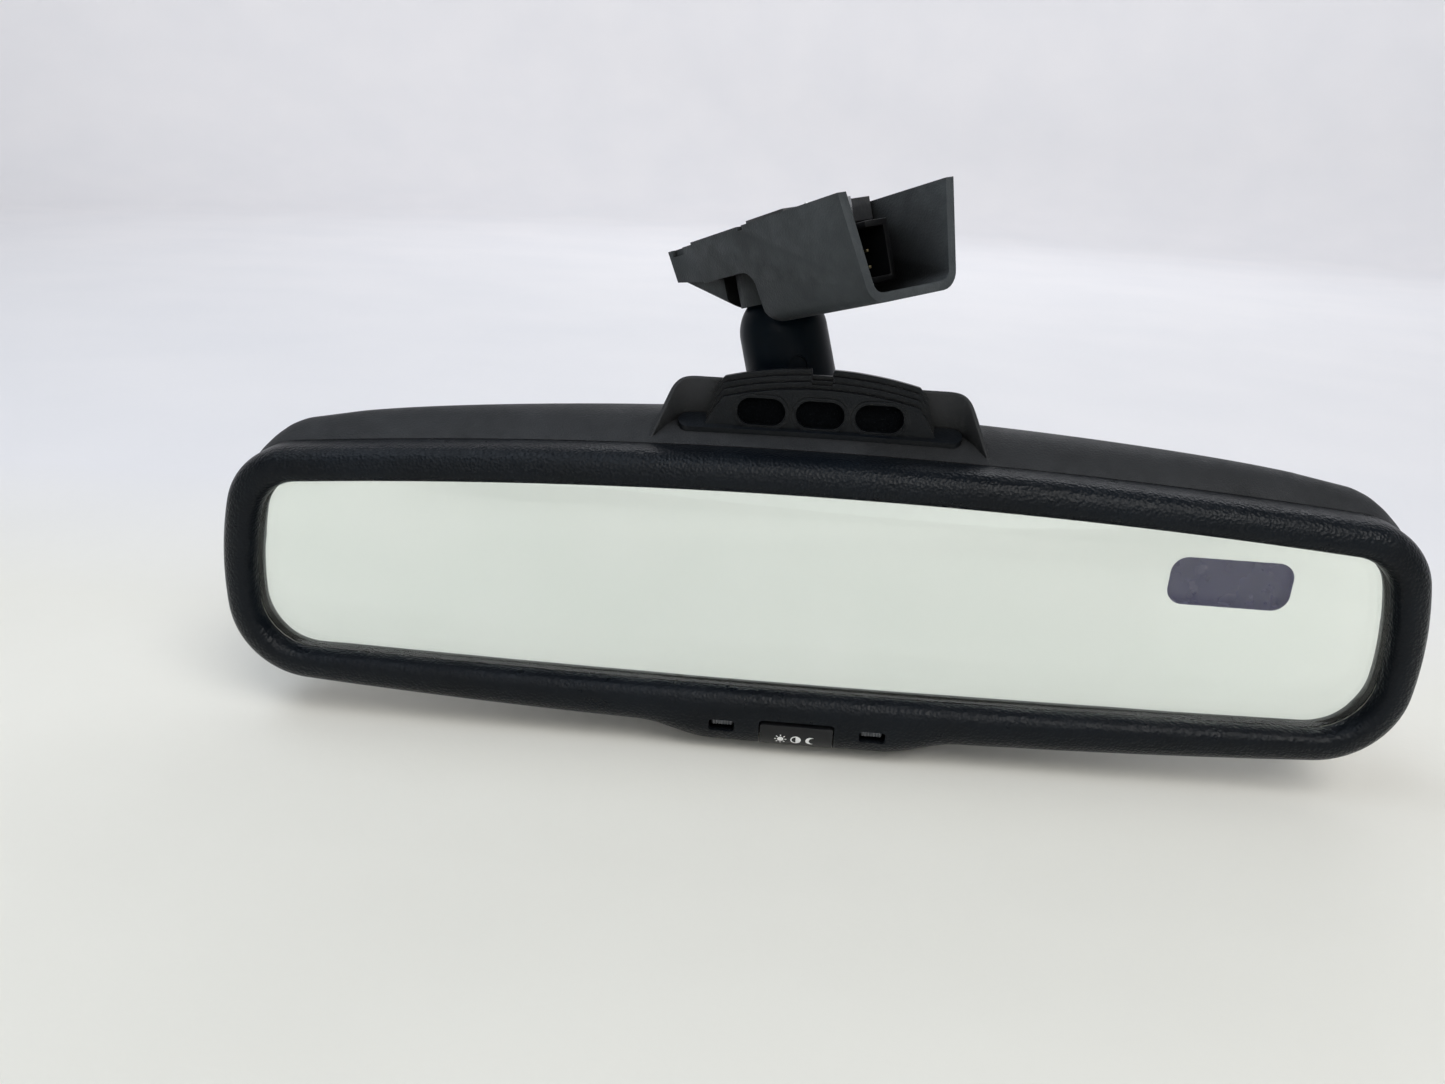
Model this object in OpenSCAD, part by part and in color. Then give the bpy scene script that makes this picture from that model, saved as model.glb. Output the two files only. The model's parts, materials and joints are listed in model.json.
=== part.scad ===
// Interior rearview mirror: auto-dimming head, double-ball arm and windshield mount.
// Millimetres, +Z up, +X along the head, glass facing -Y.
// The origin is on the button seat of the windshield mount, above the upper ball.

/* [Glass] */
// Half of the visible glass width
glass_half_w = 125; // [115:1:130]
// Height of the visible glass above its centre
glass_up = 24.4; // [22:0.1:26]
// Depth of the visible glass below its centre
glass_down = 22.65; // [21:0.05:24]
// Thickness of each of the two glass plates
glass_t = 2; // [1.6:0.1:2.2]

/* [Frame] */
// Width of the frame beside and above the glass
frame_w = 7.9; // [7:0.1:9]
// Width of the frame below the glass, at its middle
frame_low_w = 10.8; // [10:0.1:12]
// How far the frame stands in front of the glass
frame_proud = 4; // [3:0.1:4.5]
// Extra depth of the chin under the glass
chin_drop = 3.4; // [2.5:0.1:4]
// Depth of the housing at its middle, behind the parting line
shell_mid = 40; // [39:0.5:44]
// Depth of the housing at its ends, behind the parting line
shell_end = 21; // [18:0.5:24]
// Rise of the housing's top above the parting line
shell_bulge = 6.6; // [4:0.1:7]
// Wall thickness of the mouldings
wall = 2; // [1.6:0.1:2.2]

/* [Arm] */
// Distance between the two ball centres
ball_gap = 35.66; // [35:0.1:38]
// Radius of both balls
ball_r = 6; // [5.8:0.05:6.1]
// Outer radius of the arm's sleeve
sleeve_r = 10.2; // [10.1:0.05:10.4]
// Sideways lean of the arm from the head's vertical, in degrees
lean_side = -14.67; // [-16:0.01:-10]
// Backward lean of the arm from the head's vertical, in degrees
lean_back = 7.44; // [6:0.01:8]

/* [Mount] */
// Swivel of the mount about the arm, in degrees
swivel = 38.5; // [0:0.5:45]
// Distance from the button seat down to the upper ball
seat_height = 21.8; // [21.5:0.1:24]
// Length of the shroud from its tip to its open end
shroud_len = 72; // [66:0.5:75]
// Distance of the shroud's tip from the arm's axis
shroud_tip = 25.8; // [24:0.1:28]
// Half width of the channel at its rim
channel_half_w = 14.8; // [13.5:0.1:16]
// Depth of the channel
channel_depth = 21.4; // [20.5:0.1:21.6]

/* [Button and windows] */
// Half width of the push button
button_half_w = 8.3; // [7:0.1:9]
// Travel of the push button
button_travel = 1; // [0.5:0.1:1.2]
// Distance of each small window from the middle
window_x = 17.2; // [16:0.1:19]

/* [Hidden] */

$fn = 48;
gap = 0.3;            // space between neighbouring pieces
seam = 0.15;          // shadow gap at the parting line
part_y = 6;           // parting plane behind the glass face
lip_over = 1.3;       // how far the frame's lip covers the glass
spine_half = 104;     // half length of the housing's spine
spine_z = -1;         // height of the housing's spine
middle_x = 0.6;       // the button, windows and microphone sit this far off the glass centre
ball_at = [0, 27.6, 19.1];   // lower ball, from the centre of the glass
fit = 0.06;           // running clearance at the ball surfaces
washer_t = 0.6;
cup_t = 0.75;
bore_r = 7.6;         // inside of the arm's tube
tube_r = 8.8;
neck_r = 3.3;
rim = 2.2;            // depth of the button seat below the mount's rim
foot = 10.9;          // clear radius round each ball

arm_dir = [cos(lean_back) * sin(lean_side), sin(lean_back), cos(lean_back) * cos(lean_side)];
upper_ball = -seat_height * arm_dir;
lower_ball = upper_ball - ball_gap * arm_dir;
head_at = lower_ball - ball_at;

// Outlines: [top z, top radius, side x, side radius, side z, bottom z, bottom radius,
//            top corner radius, bottom corner radius]
glass_line = [glass_up, 1350, glass_half_w, 74, -7.5, -glass_down, 4500, 10.5, 12];
frame_line = [glass_up + frame_w + 0.1, 1240, glass_half_w + frame_w, 82, -6,
    -glass_down - frame_low_w, 1600, 16.5, 19];

function grown(o, e) = [o[0] + e, o[1] + e, o[2] + e, o[3] + e, o[4], o[5] - e, o[6] + e,
    o[7] + e, o[8] + e];
function polar(c, r, a) = [c[0] + r * cos(a), c[1] + r * sin(a)];
function bearing(c, p) = atan2(p[1] - c[1], p[0] - c[0]);
// Where two circles meet, on the side that s picks
function meet(c, r, d, q, s) =
    let (v = d - c, l = norm(v), a = (r * r - q * q + l * l) / (2 * l), h = sqrt(r * r - a * a))
    c + v * a / l + s * [v[1], -v[0]] * h / l;
function arc(c, r, a, b, n) = [for (i = [0:n]) polar(c, r, a + (b - a) * i / n)];

steps = 20;           // stations along each half of the top and of the bottom
corner_steps = 7;
side_steps = 6;
function station_x(i) = spine_half * pow(i / steps, 1.15);

// Right half of an outline, from the middle of the top to the middle of the bottom
function half_line(o) =
    let (ct = [0, o[0] - o[1]], cs = [o[2] - o[3], o[4]], cb = [0, o[5] + o[6]],
        kt = meet(ct, o[1] - o[7], cs, o[3] - o[7], 1),
        kb = meet(cb, o[6] - o[8], cs, o[3] - o[8], -1))
    concat(
        [for (i = [0:steps]) let (x = station_x(i)) [x, ct[1] + sqrt(o[1] * o[1] - x * x)]],
        arc(kt, o[7], bearing(ct, kt), bearing(cs, kt), corner_steps),
        [for (i = [1:side_steps - 1])
            polar(cs, o[3], bearing(cs, kt) + (bearing(cs, kb) - bearing(cs, kt)) * i / side_steps)],
        arc(kb, o[8], bearing(cs, kb), bearing(cb, kb), corner_steps),
        [for (i = [steps:-1:0]) let (x = station_x(i)) [x, cb[1] - sqrt(o[6] * o[6] - x * x)]]);
function full_line(o) = let (h = half_line(o), n = len(h))
    concat(h, [for (i = [n - 2:-1:1]) [-h[i][0], h[i][1]]]);

// The chin: a smooth drop of the lower edge near the middle
function ease(t) = let (u = max(0, min(1, t))) u * u * (3 - 2 * u);
function chin(p) = p[1] < -20 ? [p[0], p[1] - chin_drop * ease((37 - abs(p[0] - middle_x)) / 17)] : p;
function chinned(l) = [for (p = l) chin(p)];

glass_pts = full_line(glass_line);
frame_pts = chinned(full_line(frame_line));
stations = len(glass_pts);

module tube_mesh(rings) {
    // Closed loop of closed rings, such as the frame round the glass
    n = len(rings);
    m = len(rings[0]);
    polyhedron(points = [for (r = rings, p = r) p],
        faces = [for (i = [0:n - 1], j = [0:m - 1])
            [i * m + j, i * m + (j + 1) % m, (i + 1) % n * m + (j + 1) % m, (i + 1) % n * m + j]],
        convexity = 8);
}

module rod_mesh(rings) {
    // Open row of closed rings, with flat ends
    n = len(rings);
    m = len(rings[0]);
    polyhedron(points = [for (r = rings, p = r) p],
        faces = concat([[for (j = [0:m - 1]) j]], [[for (j = [m - 1:-1:0]) (n - 1) * m + j]],
            [for (i = [0:n - 2], j = [0:m - 1])
                [i * m + j, (i + 1) * m + j, (i + 1) * m + (j + 1) % m, i * m + (j + 1) % m]]),
        convexity = 8);
}

function unit(v) = v / norm(v);
// A round lead along a route
module wire(route, r) {
    n = len(route);
    rod_mesh([for (i = [0:n - 1]) let (d = unit(route[min(n - 1, i + 1)] - route[max(0, i - 1)]),
        u = unit(cross(d, [1, 1, 0.3])), v = cross(d, u))
        [for (j = [0:9]) route[i] + r * (cos(36 * j) * u + sin(36 * j) * v)]]);
}

module block(low, high) translate(low) cube(high - low);
module in_head() translate(head_at) children();
module in_arm() translate(upper_ball) rotate([0, lean_side, 0]) rotate([-lean_back, 0, 0]) children();
module in_mount() rotate([0, lean_side, 0]) rotate([-lean_back, 0, 0]) rotate([0, 0, swivel]) children();
module plate(pts, y0, y1) translate([0, y1, 0]) rotate([90, 0, 0]) linear_extrude(y1 - y0) polygon(pts);
// A cylinder along Y
module post(x, z, y0, y1, r) translate([x, y0, z]) rotate([-90, 0, 0]) cylinder(r = r, h = y1 - y0);

// ---- frame ---------------------------------------------------------------------------------
function across(t) = 0.5 - 0.5 * sign(cos(t)) * pow(abs(cos(t)), 0.8);
function front_y(t) = 2 * across(t) - (frame_proud + 1) * pow(sin(t), 0.85) - 0.05;
frame_front = [for (t = [0:15:180]) [across(t), front_y(t)]];
frame_full = concat(frame_front, [[1, part_y], [0, part_y]]);
frame_hollow = [[-0.4, 0], [0.28, 0], [0.34, -1.6], [0.5, -2.1], [0.68, -1.6], [0.78, 0],
    [0.83, 1.5], [0.83, part_y + 1], [-0.4, part_y + 1]];

function frame_ring(i, section) = let (a = glass_pts[i], b = frame_pts[i])
    [for (s = section) let (p = a + (b - a) * s[0]) [p[0], s[1], p[1]]];
module frame_sweep(section) tube_mesh([for (i = [0:stations - 1]) frame_ring(i, section)]);

button_top = -glass_down - 7;
window_z = -glass_down - 8.4;
window_w = 5.9;
window_h = 3.1;

stem_end = 3.4;       // back of the button's stem
module button_space(clear) block([middle_x - button_half_w - clear, -8, -45],
    [middle_x + button_half_w + clear, stem_end + button_travel + clear, button_top + 1]);
function lens_x(s) = middle_x + s * window_x;

// Tabs that snap inside the housing's rim
tab_x = [-96, -58, 58, 96];
module snap_tab(x, side) {
    o = frame_line;
    edge = side > 0 ? o[0] - o[1] + sqrt(o[1] * o[1] - x * x) : o[5] + o[6] - sqrt(o[6] * o[6] - x * x);
    for (d = [[1, 3.4, 3.8, part_y - 0.1], [2.5, 3.4, part_y - 0.1, part_y + 3]]) hull() for (e = [-4, 4])
        block([x + e - 0.5, d[2], min(edge - side * d[0], edge - side * d[1])],
            [x + e + 0.5, d[3], max(edge - side * d[0], edge - side * d[1])]);
}

module front_bezel() color("#17181a") in_head() difference() {
    union() {
        difference() {
            frame_sweep(frame_full);
            difference() {
                frame_sweep(frame_hollow);
                block([-22, -8, -45], [22, -1.1, -glass_down - 3]);
            }
        }
        for (x = tab_x, side = [-1, 1]) snap_tab(x, side);
    }
    button_space(gap);
    for (s = [-1, 1])
        block([lens_x(s) - window_w / 2, -8, window_z - window_h / 2],
            [lens_x(s) + window_w / 2, 3, window_z + window_h / 2]);
}

// Part of the frame's lower middle, without its hollow
module frame_low_middle(half) rod_mesh([for (i = [stations - 1:-1:0])
    if (glass_pts[i][1] < 0 && abs(glass_pts[i][0]) < half) frame_ring(i, frame_full)]);

module auto_button() color("#1b1c1e") in_head() {
    intersection() {
        translate([0, -0.15, 0]) frame_low_middle(14);
        block([middle_x - button_half_w, -8, -45], [middle_x + button_half_w, 2.2, button_top]);
    }
    block([middle_x - 2.5, 2, button_top - 3.1], [middle_x + 2.5, stem_end, button_top - 0.9]);
}

// ---- housing -------------------------------------------------------------------------------
bend = 2.6;           // roundness of the housing's section
rings = 7;
function spine(p) = [max(-spine_half, min(spine_half, p[0])), spine_z];
function depth(x, e) = shell_end + (shell_mid - shell_end) * pow(cos(90 * min(1, abs(x) / 112)), 1.6) + e;
function rise(p, u) = p[1] > 0
    ? shell_bulge * 4 * u * (1 - u) * (1 - pow(min(1, abs(p[0]) / 134), 8)) * min(1, p[1] / 26) : 0;
function shell_point(p, f, e) =
    let (u = pow(sin(f), 2 / bend), v = pow(cos(f), 2 / bend), s = spine(p), l = norm(p - s),
        q = s + (p - s) * (l + e) / l * v)
    [q[0], part_y + seam + depth(q[0], e) * u, q[1] + rise(p, u)];
// The spine end gathers the stations beyond it into one point
function spine_point(i, e) = let (x = spine(frame_pts[i])[0]) [x, part_y + seam + depth(x, e), spine_z];
half_n = len(half_line(frame_line));
function spine_id(i) = let (k = i < half_n ? i : stations - i, s = i < half_n ? 1 : -1,
    c = k <= steps ? k : (k >= half_n - 1 - steps ? half_n - 1 - k : steps))
    steps + s * c;

// The housing's form grown by e, solid, from the parting plane back, or from before in front of it
module shell_form(e, before = 0) {
    pts = concat([for (j = [0:rings - 1], i = [0:stations - 1])
            shell_point(frame_pts[i], 90 * j / rings, e) - [0, j == 0 ? before : 0, 0]],
        [for (c = [-steps:steps]) let (x = sign(c) * station_x(abs(c)))
            [x, part_y + seam + depth(x, e), spine_z]]);
    base = rings * stations;
    last = (rings - 1) * stations;
    polyhedron(points = pts, faces = concat(
        [[for (i = [0:stations - 1]) i]],
        [for (j = [0:rings - 2], i = [0:stations - 1]) let (k = (i + 1) % stations)
            for (t = [[0, 2, 1], [0, 3, 2]]) let (q = [j * stations + i, j * stations + k,
                (j + 1) * stations + k, (j + 1) * stations + i]) [q[t[0]], q[t[1]], q[t[2]]]],
        [for (i = [0:stations - 1]) let (k = (i + 1) % stations, a = base + spine_id(i),
            b = base + spine_id(k))
            if (a != b) [last + i, b, last + k]],
        [for (i = [0:stations - 1]) let (k = (i + 1) % stations, a = base + spine_id(i),
            b = base + spine_id(k)) [last + i, a, a == b ? last + k : b]]), convexity = 6);
}

// Space that the arm sweeps inside the head
module arm_space(r) hull() {
    translate(ball_at) sphere(r = r, $fn = 32);
    for (s = [-1, 1], b = [-0.6, 15.6])
        translate(ball_at + 36 * [s * sin(17.2), sin(b), cos(17.2)]) sphere(r = r, $fn = 32);
}

// Raised rim round the back of the microphone cover, seen from above: foot, corner, middle
collar_t = 1.2;
collar_foot = [37.4, 7.3];
collar_corner = [26.9, 7.6];
collar_r = 8;
collar_half = let (a = polar(collar_corner, collar_r, 39))
    concat([for (i = [0:7]) collar_foot + (a - collar_foot) * i / 8], arc(collar_corner, collar_r, 39, 90, 8));
collar_line = concat([for (p = collar_half) [middle_x - p[0], p[1]]],
    [for (i = [len(collar_half) - 1:-1:0]) [middle_x + collar_half[i][0], collar_half[i][1]]]);
// The rim climbs from its feet and levels off at the back
function collar_top(y) = 33.7 + 1.93 * (y - 8.3) - 0.37 * pow(max(0, y - 13), 2);
module collar() rod_mesh([for (i = [0:len(collar_line) - 1]) let (p = collar_line[i], z = collar_top(p[1]),
    d = collar_line[min(len(collar_line) - 1, i + 1)] - collar_line[max(0, i - 1)],
    o = [-d[1], d[0]] / norm(d) * collar_t / 2)
    [[p[0] - o[0], p[1] - o[1], 29.5], [p[0] + o[0], p[1] + o[1], 29.5], [p[0] + o[0], p[1] + o[1], z - 0.3],
        [p[0], p[1], z], [p[0] - o[0], p[1] - o[1], z - 0.3]]]);

ambient_at = [46, 0, 8];
boss_x = 17;
boss_z = [-4, -16];
plate_y = 38.2;       // back of the pivot plate's upright

module rear_shell() color("#26272a") in_head() difference() {
    union() {
        difference() {
            union() {
                shell_form(0);
                collar();
            }
            difference() {
                shell_form(-wall, 0.6);
                // Bosses for the pivot plate
                for (s = [-1, 1], z = boss_z) post(s * boss_x, z, plate_y, 50, 3.2);
            }
        }
    }
    arm_space(10.9);
    microphone_opening();
    post(ambient_at[0], ambient_at[2], 20, 60, 3.1);
    for (s = [-1, 1], z = boss_z) post(s * boss_x, z, plate_y - 1, plate_y + 4.2, 1.2);
    // Cooling slots low in the back
    for (s = [-1, 1], i = [-2:2]) hull() for (z = [-14, -6]) post(s * 62 + 4.4 * i, z, 20, 60, 0.8, $fn = 16);
}

// ---- glass cell ----------------------------------------------------------------------------
cell_pts = full_line(grown(glass_line, lip_over));
rear_pts = full_line(grown(glass_line, lip_over - 0.35));
cell_gap = 0.15;
rear_y = glass_t + cell_gap;
pad_y = rear_y + glass_t;
carrier_y = pad_y + 0.8;
board_y = carrier_y + 4.1;
window_low = [77.6, 5.1];
window_high = [103.2, 15.9];

module front_glass() color("#c9d6cf", 0.6) in_head() plate(cell_pts, 0, glass_t);
module rear_glass() color("#b9c8c2") in_head() plate(rear_pts, rear_y, pad_y);
module cell_seal() color("#d8d4c4") in_head() difference() {
    plate(full_line(grown(glass_line, lip_over - 0.1)), glass_t, rear_y);
    plate(full_line(grown(glass_line, lip_over - 0.6)), glass_t - 1, rear_y + 1);
}
// Sprung contact clips along the top and bottom edges of the rear glass
clip_half = 6;
module cell_bus_clips() color("#b8bcc0") in_head() for (s = [-1, 1], x = [-60, 60]) {
    near = abs(x) - clip_half;
    z = s > 0 ? glass_up + 1 - near * near / 2700 : -glass_down - 1 + near * near / 9000;
    block([x - clip_half, rear_y + 0.2, min(z, z + s * 0.4)],
        [x + clip_half, pad_y + 0.1, max(z, z + s * 0.4)]);
    block([x - clip_half, pad_y + 0.1, min(z + s * 0.4, z - s * 3.6)],
        [x + clip_half, pad_y + 0.4, max(z + s * 0.4, z - s * 3.6)]);
}
module glass_pad() color("#3a3b3d") in_head() difference() {
    plate(full_line(grown(glass_line, -4)), pad_y, carrier_y);
    block([window_low[0] - 1.5, 0, window_low[1] - 1.5], [window_high[0] + 1.5, 9, window_high[1] + 1.5]);
}
module glass_carrier() color("#2a2b2d") in_head() difference() {
    union() {
        plate(full_line(grown(glass_line, 0.4)), carrier_y, carrier_y + 1.6);
        for (x = [-70, 0, 62], z = [-15, 15]) post(x, z, carrier_y + 1.6, board_y, 2.6);
    }
    block([window_low[0] - 1.5, 0, window_low[1] - 1.5], [window_high[0] + 1.5, 9, window_high[1] + 1.5]);
    for (x = [-70, 0, 62], z = [-15, 15]) post(x, z, carrier_y + 0.5, board_y + 1, 0.85);
}
// Clear area of the mirror in front of the display
module display_window() color("#2c3152") in_head()
    block([window_low[0], pad_y, window_low[1]], [window_high[0], pad_y + 0.3, window_high[1]]);
module display_module() color("#15161a") in_head() difference() {
    block([window_low[0] - 1, pad_y + 0.35, window_low[1] - 1], [window_high[0] + 1, board_y, window_high[1] + 1]);
    block([window_low[0] + 1, 0, window_low[1] + 1], [window_high[0] - 1, pad_y + 1.2, window_high[1] - 1]);
}

// ---- electronics ---------------------------------------------------------------------------
module circuit_board() color("#1f5a34") in_head() difference() {
    block([-84, board_y, -19], [108, board_y + 1.5, 19]);
    for (x = [-70, 0, 62], z = [-15, 15]) post(x, z, board_y - 1, board_y + 3, 1.2);
}
module board_components() color("#1a1a1c") in_head() {
    top = board_y + 1.5;
    block([-52, top, -8], [-40, top + 1.6, 4]);
    block([28, top, -6], [38, top + 1.4, 4]);
    block([46, top, -12], [50, top + 2.2, -4]);
    for (i = [0:4]) block([-30 + 5 * i, top, -17.4], [-27.4 + 5 * i, top + 0.9, -16]);
    for (i = [0:3]) block([70 + 6 * i, top, -2], [73.2 + 6 * i, top + 1.1, 0.2]);
    for (x = [-64, 88]) post(x, 9, top, top + 3, 3);
    block([90, top, -14], [100, top + 1.6, -6]);
}
module board_connector() color("#e8e4d6") in_head() difference() {
    block([-24, board_y + 1.5, 4], [-12, board_y + 6, 12]);
    block([-23, board_y + 2.5, 5.2], [-13, board_y + 7, 10.8]);
}
module board_screws() color("#9a9da1") in_head() for (x = [-70, 0, 62], z = [-15, 15]) {
    difference() {
        post(x, z, board_y + 1.5, board_y + 3, 2);
        post(x, z, board_y + 2.3, board_y + 4, 0.7);
    }
    post(x, z, carrier_y + 1.2, board_y + 1.5, 0.8);
}
low_board_y = 7.4;
module button_board() color("#1f5a34") in_head()
    block([-23, low_board_y, -33.6], [23, low_board_y + 1.2, -25.5]);
module button_switch() color("#202123") in_head() {
    block([middle_x - 3, 5.4, button_top - 3.6], [middle_x + 3, low_board_y, button_top]);
    post(middle_x, button_top - 2, stem_end + button_travel + 0.15, 5.4, 0.85);
}
module status_led() color("#e9ebe4") in_head()
    block([lens_x(-1) - 1.2, 6.2, window_z - 0.9], [lens_x(-1) + 1.2, low_board_y, window_z + 0.9]);
module glare_sensor() color("#101114") in_head()
    block([lens_x(1) - 1.4, 6, window_z - 1.1], [lens_x(1) + 1.4, low_board_y, window_z + 1.1]);
// Ribbed light guide behind a small window
module window_lens(s, back) {
    block([lens_x(s) - 2.35, -0.6, window_z - 1.25], [lens_x(s) + 2.35, back, window_z + 1.25]);
    for (i = [-3:3]) translate([lens_x(s) + 0.66 * i, -0.6, window_z - 1.25])
        cylinder(r = 0.3, h = 2.5, $fn = 16);
}
module status_lens() color("#8d9296") in_head() window_lens(-1, 6.1);
module glare_sensor_lens() color("#8d9296") in_head() window_lens(1, 5.9);

function back_y(x, z) = part_y + seam + depth(x, 0)
    * pow(1 - pow(min(1, abs(z - spine_z) / 34), bend), 1 / bend);
ambient_y = back_y(ambient_at[0], ambient_at[2]);
module ambient_sensor() color("#101114") in_head() {
    post(ambient_at[0], ambient_at[2], board_y + 1.5, ambient_y - 4.2, 2.2);
}
module ambient_sensor_lens() color("#c8ccd0") in_head() {
    post(ambient_at[0], ambient_at[2], ambient_y - 4, ambient_y - 1.2, 3);
    translate([ambient_at[0], ambient_y - 1.2, ambient_at[2]]) intersection() {
        translate([0, -3.55, 0]) sphere(r = 4.65);
        post(0, 0, 0, 3, 3);
    }
}

// ---- microphone ----------------------------------------------------------------------------
mic_y = 10.6;         // front face of the cover
mic_back = 14.7;
mic_low = 32;
slot_x = 12.9;
slot_z = 39.3;
slot_w = 10.6;
slot_h = 6;
ridge_t = 0.8;
// Front view of the cover: sloping sides and a gently arched top
module mic_outline(half_low, half_high, high) polygon(concat(
    [[-half_low, mic_low]],
    [for (i = [-6:6]) let (x = half_high * sin(15 * i)) [x, high - 2.4 * pow(x / 20, 2)
        - (abs(i) == 6 ? 1.5 : 0)]],
    [[half_low, mic_low]]));
module mic_slab(y0, y1) translate([middle_x, y1, 0]) rotate([90, 0, 0]) linear_extrude(y1 - y0) children();
module obround(x, z, w, h, y0, y1) hull() for (s = [-1, 1])
    post(middle_x + x + s * (w - h) / 2, z, y0, y1, h / 2, $fn = 32);

// Space behind the slots, less a margin all round
module mic_inside(low, margin) {
    translate([-19.8 + margin, low]) square([39.6 - 2 * margin, 41.2 - low - margin]);
    translate([-16.4 + margin, low]) square([32.8 - 2 * margin, 42.4 - low - margin]);
}
module microphone_opening() mic_slab(mic_y + 1.4, mic_back - 1.1) translate([-21, 27]) square([42, 12]);
module microphone_flange() intersection() {
    shell_form(1.2);
    translate([middle_x, 0, 25]) linear_extrude(20) polygon(concat(
        arc([28.8, 11.9], 2.4, 80, -80, 8), [[0, 9.6]], arc([-28.8, 11.9], 2.4, 260, 100, 8), [[0, 14.6]]));
}
module microphone_cover() color("#1c1d20") in_head() difference() {
    union() {
        microphone_flange();
        mic_slab(mic_y, mic_back - 3 * ridge_t) mic_outline(27.4, 22.8, 44.8);
        // Three stepped ridges on each side of the middle trough
        for (i = [0:2]) mic_slab(mic_back - (3.5 - i) * ridge_t, mic_back - (2 - i) * ridge_t)
            difference() {
                mic_outline(27, 22.8, 46.2 + 1.3 * i);
                translate([-3.2, 44]) square([6.4, 9]);
            }
        // Raised rim round each slot
        for (i = [-1:1]) obround(i * slot_x, slot_z, slot_w + 1.6, slot_h + 1.6, mic_y - 0.3, mic_y + 0.2);
    }
    shell_form(0.08);
    for (i = [-1:1]) {
        obround(i * slot_x, slot_z, slot_w, slot_h, mic_y - 3, mic_y + 3);
        obround(i * slot_x, slot_z, slot_w + 0.7, slot_h + 0.7, mic_y - 3, mic_y - 0.1);
    }
    mic_slab(mic_y + 1.5, mic_back - 1.2) mic_inside(30, 0);
}
module microphone_foam() color("#101012") in_head()
    mic_slab(mic_y + 1.55, mic_y + 1.8) mic_inside(35.2, 0.05);
module microphone_capsules() color("#a9adb1") in_head() for (s = [-1, 1])
    post(middle_x + s * slot_x, 38.9, mic_y + 1.85, mic_y + 2.45, 2.9);
module microphone_board() color("#1f5a34") in_head()
    mic_slab(mic_y + 2.5, mic_y + 2.85) mic_inside(29.5, 0.3);

// ---- pivot inside the head -----------------------------------------------------------------
plate_top = 5.6;
stud_lean = 6.5;      // lean of the lower ball's neck, in degrees
module pivot_plate() color("#6f7378") in_head() difference() {
    union() {
        block([-22, 19, plate_top - 2.5], [22, plate_y, plate_top]);
        block([-22, plate_y - 2.4, -20], [22, plate_y, plate_top]);
        for (s = [-1, 1]) block([s * 21 - 1, 20, -8], [s * 21 + 1, plate_y, plate_top]);
    }
    translate([0, ball_at[1] - 1.5, -10]) cylinder(r = 3.05, h = 30);
    for (s = [-1, 1], z = boss_z) post(s * boss_x, z, 30, 45, 1.7);
}
module pivot_screws() color("#a7abb0") in_head() for (s = [-1, 1], z = boss_z) {
    difference() {
        post(s * boss_x, z, plate_y - 4.4, plate_y - 2.4, 3);
        post(s * boss_x, z, plate_y - 6, plate_y - 3.4, 1.2);
    }
    post(s * boss_x, z, plate_y - 2.4, plate_y + 4, 1.15);
}
module lower_ball_stud() color("#8b8f94") in_head() difference() {
    union() {
        translate(ball_at) sphere(r = ball_r);
        translate(ball_at) rotate([180 - stud_lean, 0, 0]) cylinder(r = neck_r, h = 12.4);
        translate([0, ball_at[1] - 1.5, plate_top]) cylinder(r = 5.6, h = 2.2);
        translate([0, ball_at[1] - 1.5, plate_top - 5.6]) cylinder(r = 3, h = 6);
    }
    translate(ball_at) rotate([180 - stud_lean, 0, 0]) translate([0, 0, -8]) cylinder(r = 1.6, h = 20);
    translate([0, ball_at[1] - 1.5, -3]) cylinder(r = 1.6, h = 11);
}
module stud_nut() color("#a7abb0") in_head() difference() {
    translate([0, ball_at[1] - 1.5, plate_top - 5.3]) cylinder(r = 5.4, h = 2.8, $fn = 6);
    translate([0, ball_at[1] - 1.5, -10]) cylinder(r = 3.05, h = 20);
}
module head_harness() color("#2b2c30") in_head()
    wire([[0, ball_at[1] - 1.5, 6.5], [0, ball_at[1] - 1.5, 0], [0, ball_at[1] - 1.5, -4],
        [-2.5, 25, -7], [-8, 21.5, -8.5], [-14, 18.4, -7], [-17.4, 17.3, -3.4], [-18, 17.2, 1],
        [-18, 17.1, 5], [-18, 16, 7.4], [-18, board_y + 4.5, 8]], 1.1);

// ---- arm -----------------------------------------------------------------------------------
module shell_cap(inner, outer, half_angle, hole) intersection() {
    difference() {
        sphere(r = outer);
        sphere(r = inner);
        cylinder(r = hole, h = 30, center = true);
    }
    translate([0, 0, -outer - 1]) cylinder(r1 = tan(half_angle) * (outer + 1), r2 = 0, h = outer + 1);
}
module at_lower() translate([0, 0, -ball_gap]) mirror([0, 0, 1]) children();
washer_out = ball_r + fit + washer_t;
cup_out = washer_out + fit + cup_t;
module friction_washer() color("#b9b29a") shell_cap(ball_r + fit, washer_out, 50, 2.4);
module ball_cup() color("#d9d6cc") shell_cap(washer_out + fit, cup_out, 54, 3.2);
module spring_seat() color("#8b8f94") difference() {
    translate([0, 0, -cup_out - 1.4]) cylinder(r = bore_r - 0.1, h = 4);
    sphere(r = cup_out + fit);
    cylinder(r = 3, h = 40, center = true);
}
module upper_friction_washer() in_arm() friction_washer();
module lower_friction_washer() in_arm() at_lower() friction_washer();
module upper_ball_cup() in_arm() ball_cup();
module lower_ball_cup() in_arm() at_lower() ball_cup();
module upper_spring_seat() in_arm() spring_seat();
module lower_spring_seat() in_arm() at_lower() spring_seat();

mouth = 54;           // half angle of the tube's mouth
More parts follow.
